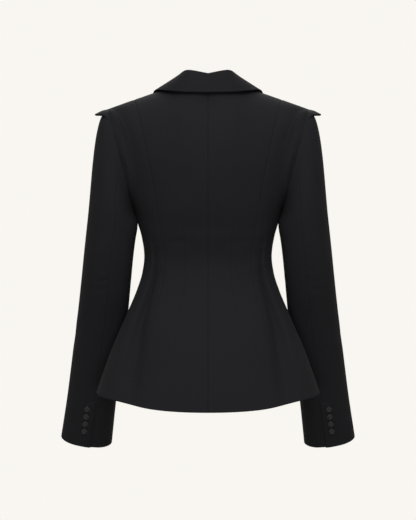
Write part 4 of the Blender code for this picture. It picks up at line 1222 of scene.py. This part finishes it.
def stitch_shape():
    """One stitch of twisted thread, a spindle along Z, 1 long and 1 thick."""
    shares = np.linspace(0.04, 0.96, 8)[:, None]
    turn = np.linspace(0.0, 2 * math.pi, STITCH_SIDES, endpoint=False)
    radius = 0.5 * np.sin(math.pi * shares) ** 0.4 * (1 + 0.12 * np.cos(3 * turn + 5 * shares))
    rings = np.stack([radius * np.cos(turn), radius * np.sin(turn), shares - 0.5 + 0 * turn], axis=-1)
    points = rings.reshape(-1, 3).tolist() + [(0.0, 0.0, -0.5), (0.0, 0.0, 0.5)]
    index = np.arange(rings.shape[0] * STITCH_SIDES).reshape(-1, STITCH_SIDES)
    beside = np.roll(index, -1, axis=1)
    faces = np.stack([index[:-1], beside[:-1], beside[1:], index[1:]], axis=-1).reshape(-1, 4).tolist()
    faces += [(b, a, len(points) - 2) for a, b in zip(index[0], beside[0])]
    faces += [(a, b, len(points) - 1) for a, b in zip(index[-1], beside[-1])]
    mesh = bpy.data.meshes.new("stitch")
    mesh.from_pydata(points, [], faces)
    mesh.shade_smooth()
    return mesh


def thread_material():
    """Black sewing thread: a little lighter where its twisted strands catch the light."""
    material = bpy.data.materials.new("black_thread")
    material.use_nodes = True
    tree = material.node_tree
    place = add_node(tree, "ShaderNodeTexCoord").outputs["Object"]
    strands = add_node(tree, "ShaderNodeTexNoise", {"Vector": place, "Scale": 2600.0}).outputs["Fac"]
    tint = add_node(tree, "ShaderNodeMix", data_type="RGBA")
    plug(tint, {"Factor": strands, "A": THREAD_DARK, "B": THREAD_LIGHT})
    plug(tree.nodes["Principled BSDF"], {
        "Base Color": tint.outputs["Result"], "Roughness": 0.62, "Specular IOR Level": 0.25,
    })
    return material


def sew_down(name, seats, directions, size):
    """Stitches of black thread on these seats, along these directions, as a piece of their own."""
    stitches = sewn_on(name, seats, directions, stitch, size, black_thread)
    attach(stitches, "root")


def button_bars(seats, directions, radius):
    """(seats, directions) of the two bars of thread across each button, from hole to hole."""
    places, bars = [], []
    for seat, direction in zip(seats, directions):
        turned = Vector((0.0, 0.0, 1.0)).rotation_difference(Vector(direction)).to_matrix()
        bar, across = np.array(turned.col[0]), np.array(turned.col[1])
        for side in (-BUTTON_HOLE_PLACE, BUTTON_HOLE_PLACE):
            places.append(seat + radius * (BUTTON_FLOOR * direction + side * across))
            bars.append(bar)
    return places, bars


def laid_on(piece, points):
    """The places on the outside of a piece of cloth that lie nearest to these points."""
    cloth = bpy.context.evaluated_depsgraph_get()
    return np.array([piece.closest_point_on_mesh(Vector(point), depsgraph=cloth)[1] for point in points])


def horn_material():
    """Polished black horn: nearly black, with faint cloudy streaks and fine polishing marks."""
    material = bpy.data.materials.new("black_horn")
    material.use_nodes = True
    tree = material.node_tree
    place = add_node(tree, "ShaderNodeTexCoord").outputs["Object"]
    stretch = add_node(tree, "ShaderNodeMapping", {"Vector": place, "Scale": (1.0, 1.0, 0.35)})
    streaks = add_node(tree, "ShaderNodeTexNoise", {
        "Vector": stretch.outputs["Vector"], "Scale": 420.0, "Detail": 4.0, "Distortion": 1.2,
    }).outputs["Fac"]
    tint = add_node(tree, "ShaderNodeMix", data_type="RGBA")
    plug(tint, {"Factor": streaks, "A": HORN_DARK, "B": HORN_LIGHT})
    polish = add_node(tree, "ShaderNodeMapRange", {"Value": streaks, "To Min": 0.14, "To Max": 0.26})
    marks = add_node(tree, "ShaderNodeBump", {"Height": streaks, "Strength": 0.06, "Distance": 0.0002})
    plug(tree.nodes["Principled BSDF"], {
        "Base Color": tint.outputs["Result"], "Roughness": polish.outputs["Result"],
        "Normal": marks.outputs["Normal"], "Specular IOR Level": 0.30,
    })
    return material


black_horn = horn_material()
black_thread = thread_material()
stitch = stitch_shape()
button_shape = turned_button()
girth = math.pi * (SLEEVE_SECTIONS[0, 3] + SLEEVE_SECTIONS[0, 4])
button_angle = BACK_ARM_SEAM - WHOLE_TURN * CUFF_BUTTON_INSET / girth
button_ribs = [sleeve_rib(button_angle + turn) for turn in (-1.0, 0.0, 1.0)]
button_places = CUFF_BUTTON_FIRST + CUFF_BUTTON_PITCH * np.arange(CUFF_BUTTONS)
button_shares = button_places / lengths(button_ribs[1])[-1]
before, middle, after = (along(rib, button_shares) for rib in button_ribs)
button_normals = unit(np.cross(after - before, along(button_ribs[1], button_shares + 1e-4) - middle))
cuff_seats = middle + SEAM_GAP * button_normals
for side, turn in SIDES:
    buttons = sewn_on(
        f"cuff_buttons_{side}", cuff_seats * turn, button_normals * turn, button_shape,
        (CUFF_BUTTON_RADIUS,) * 3, black_horn,
    )
    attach(buttons, "root")
    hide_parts(*(f"cuff_button_{side}_{row + 1}" for row in range(CUFF_BUTTONS)))
    bars = button_bars(cuff_seats * turn, button_normals * turn, CUFF_BUTTON_RADIUS)
    sew_down(f"cuff_button_thread_{side}", *bars, np.array(BAR_SIZE) * CUFF_BUTTON_RADIUS)

tack = np.linspace(*VENT_TACK, VENT_TACK_STITCHES + 2)
tack_ribs = [sleeve_rib(angle) for angle in tack[:, 0]]
tack_line = [along(rib, [up / lengths(rib)[-1]])[0] for rib, up in zip(tack_ribs, tack[:, 1])]
tack_line = laid_on(bpy.data.objects["top_sleeve_left_cloth"], tack_line)
tack_run = unit(tack_line[2:] - tack_line[:-2])
for side, turn in SIDES:
    sew_down(f"vent_stitches_{side}", tack_line[1:-1] * turn, tack_run * turn, STITCH_SIZE)

# Front button: one larger button of the same horn at the waist, through a buttonhole worked in black thread
# in the right front. It stands on a short thread shank, so that the lap lies flat under it.
FRONT_BUTTON_RADIUS = 0.0105
FRONT_BUTTON_Z = -0.286
FRONT_BUTTON_LIFT = 0.0028
SHANK_SIZE = (0.0046, 0.0046, 0.0068)
BUTTONHOLE_START = 0.002
BUTTONHOLE_END = -0.0200
BUTTONHOLE_PITCH = 0.0007
BUTTONHOLE_SIDES = (-0.0011, 0.0011)
BUTTONHOLE_STITCH = (0.0007, 0.0007, 0.0020)
button_heights = FRONT_BUTTON_Z + FRONT_BUTTON_RADIUS * np.array((-1.0, 0.0, 1.0))
lap_edge = body_point(CENTRE_FRONT, button_heights)
below, front_seat, above = lap_edge - (0.0, LAP_OFFSET + FRONT_BUTTON_LIFT, 0.0)
front_normal = unit(np.cross(above - below, (-1.0, 0.0, 0.0)))
front_seat = front_seat + SEAM_GAP * front_normal
front_button = sewn_on(
    "front_button_horn", [front_seat], [front_normal], button_shape, (FRONT_BUTTON_RADIUS,) * 3, black_horn
)
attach(front_button, "root")
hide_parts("front_button")
bars = button_bars([front_seat], [front_normal], FRONT_BUTTON_RADIUS)
sew_down("front_button_thread", *bars, np.array(BAR_SIZE) * FRONT_BUTTON_RADIUS)
shank_middle = front_seat - FRONT_BUTTON_LIFT / 2 * front_normal
sew_down("front_button_shank", [shank_middle], [front_normal], SHANK_SIZE)

hole_x = np.arange(BUTTONHOLE_END, BUTTONHOLE_START, BUTTONHOLE_PITCH)
hole_seats = [(x, front_seat[1], front_seat[2] + side) for side in BUTTONHOLE_SIDES for x in hole_x]
hole_seats = laid_on(bpy.data.objects["front_right_cloth"], hole_seats)
hole_directions = np.tile(unit(above - below), (len(hole_seats), 1))
sew_down("buttonhole_stitches", hole_seats, hole_directions, BUTTONHOLE_STITCH)
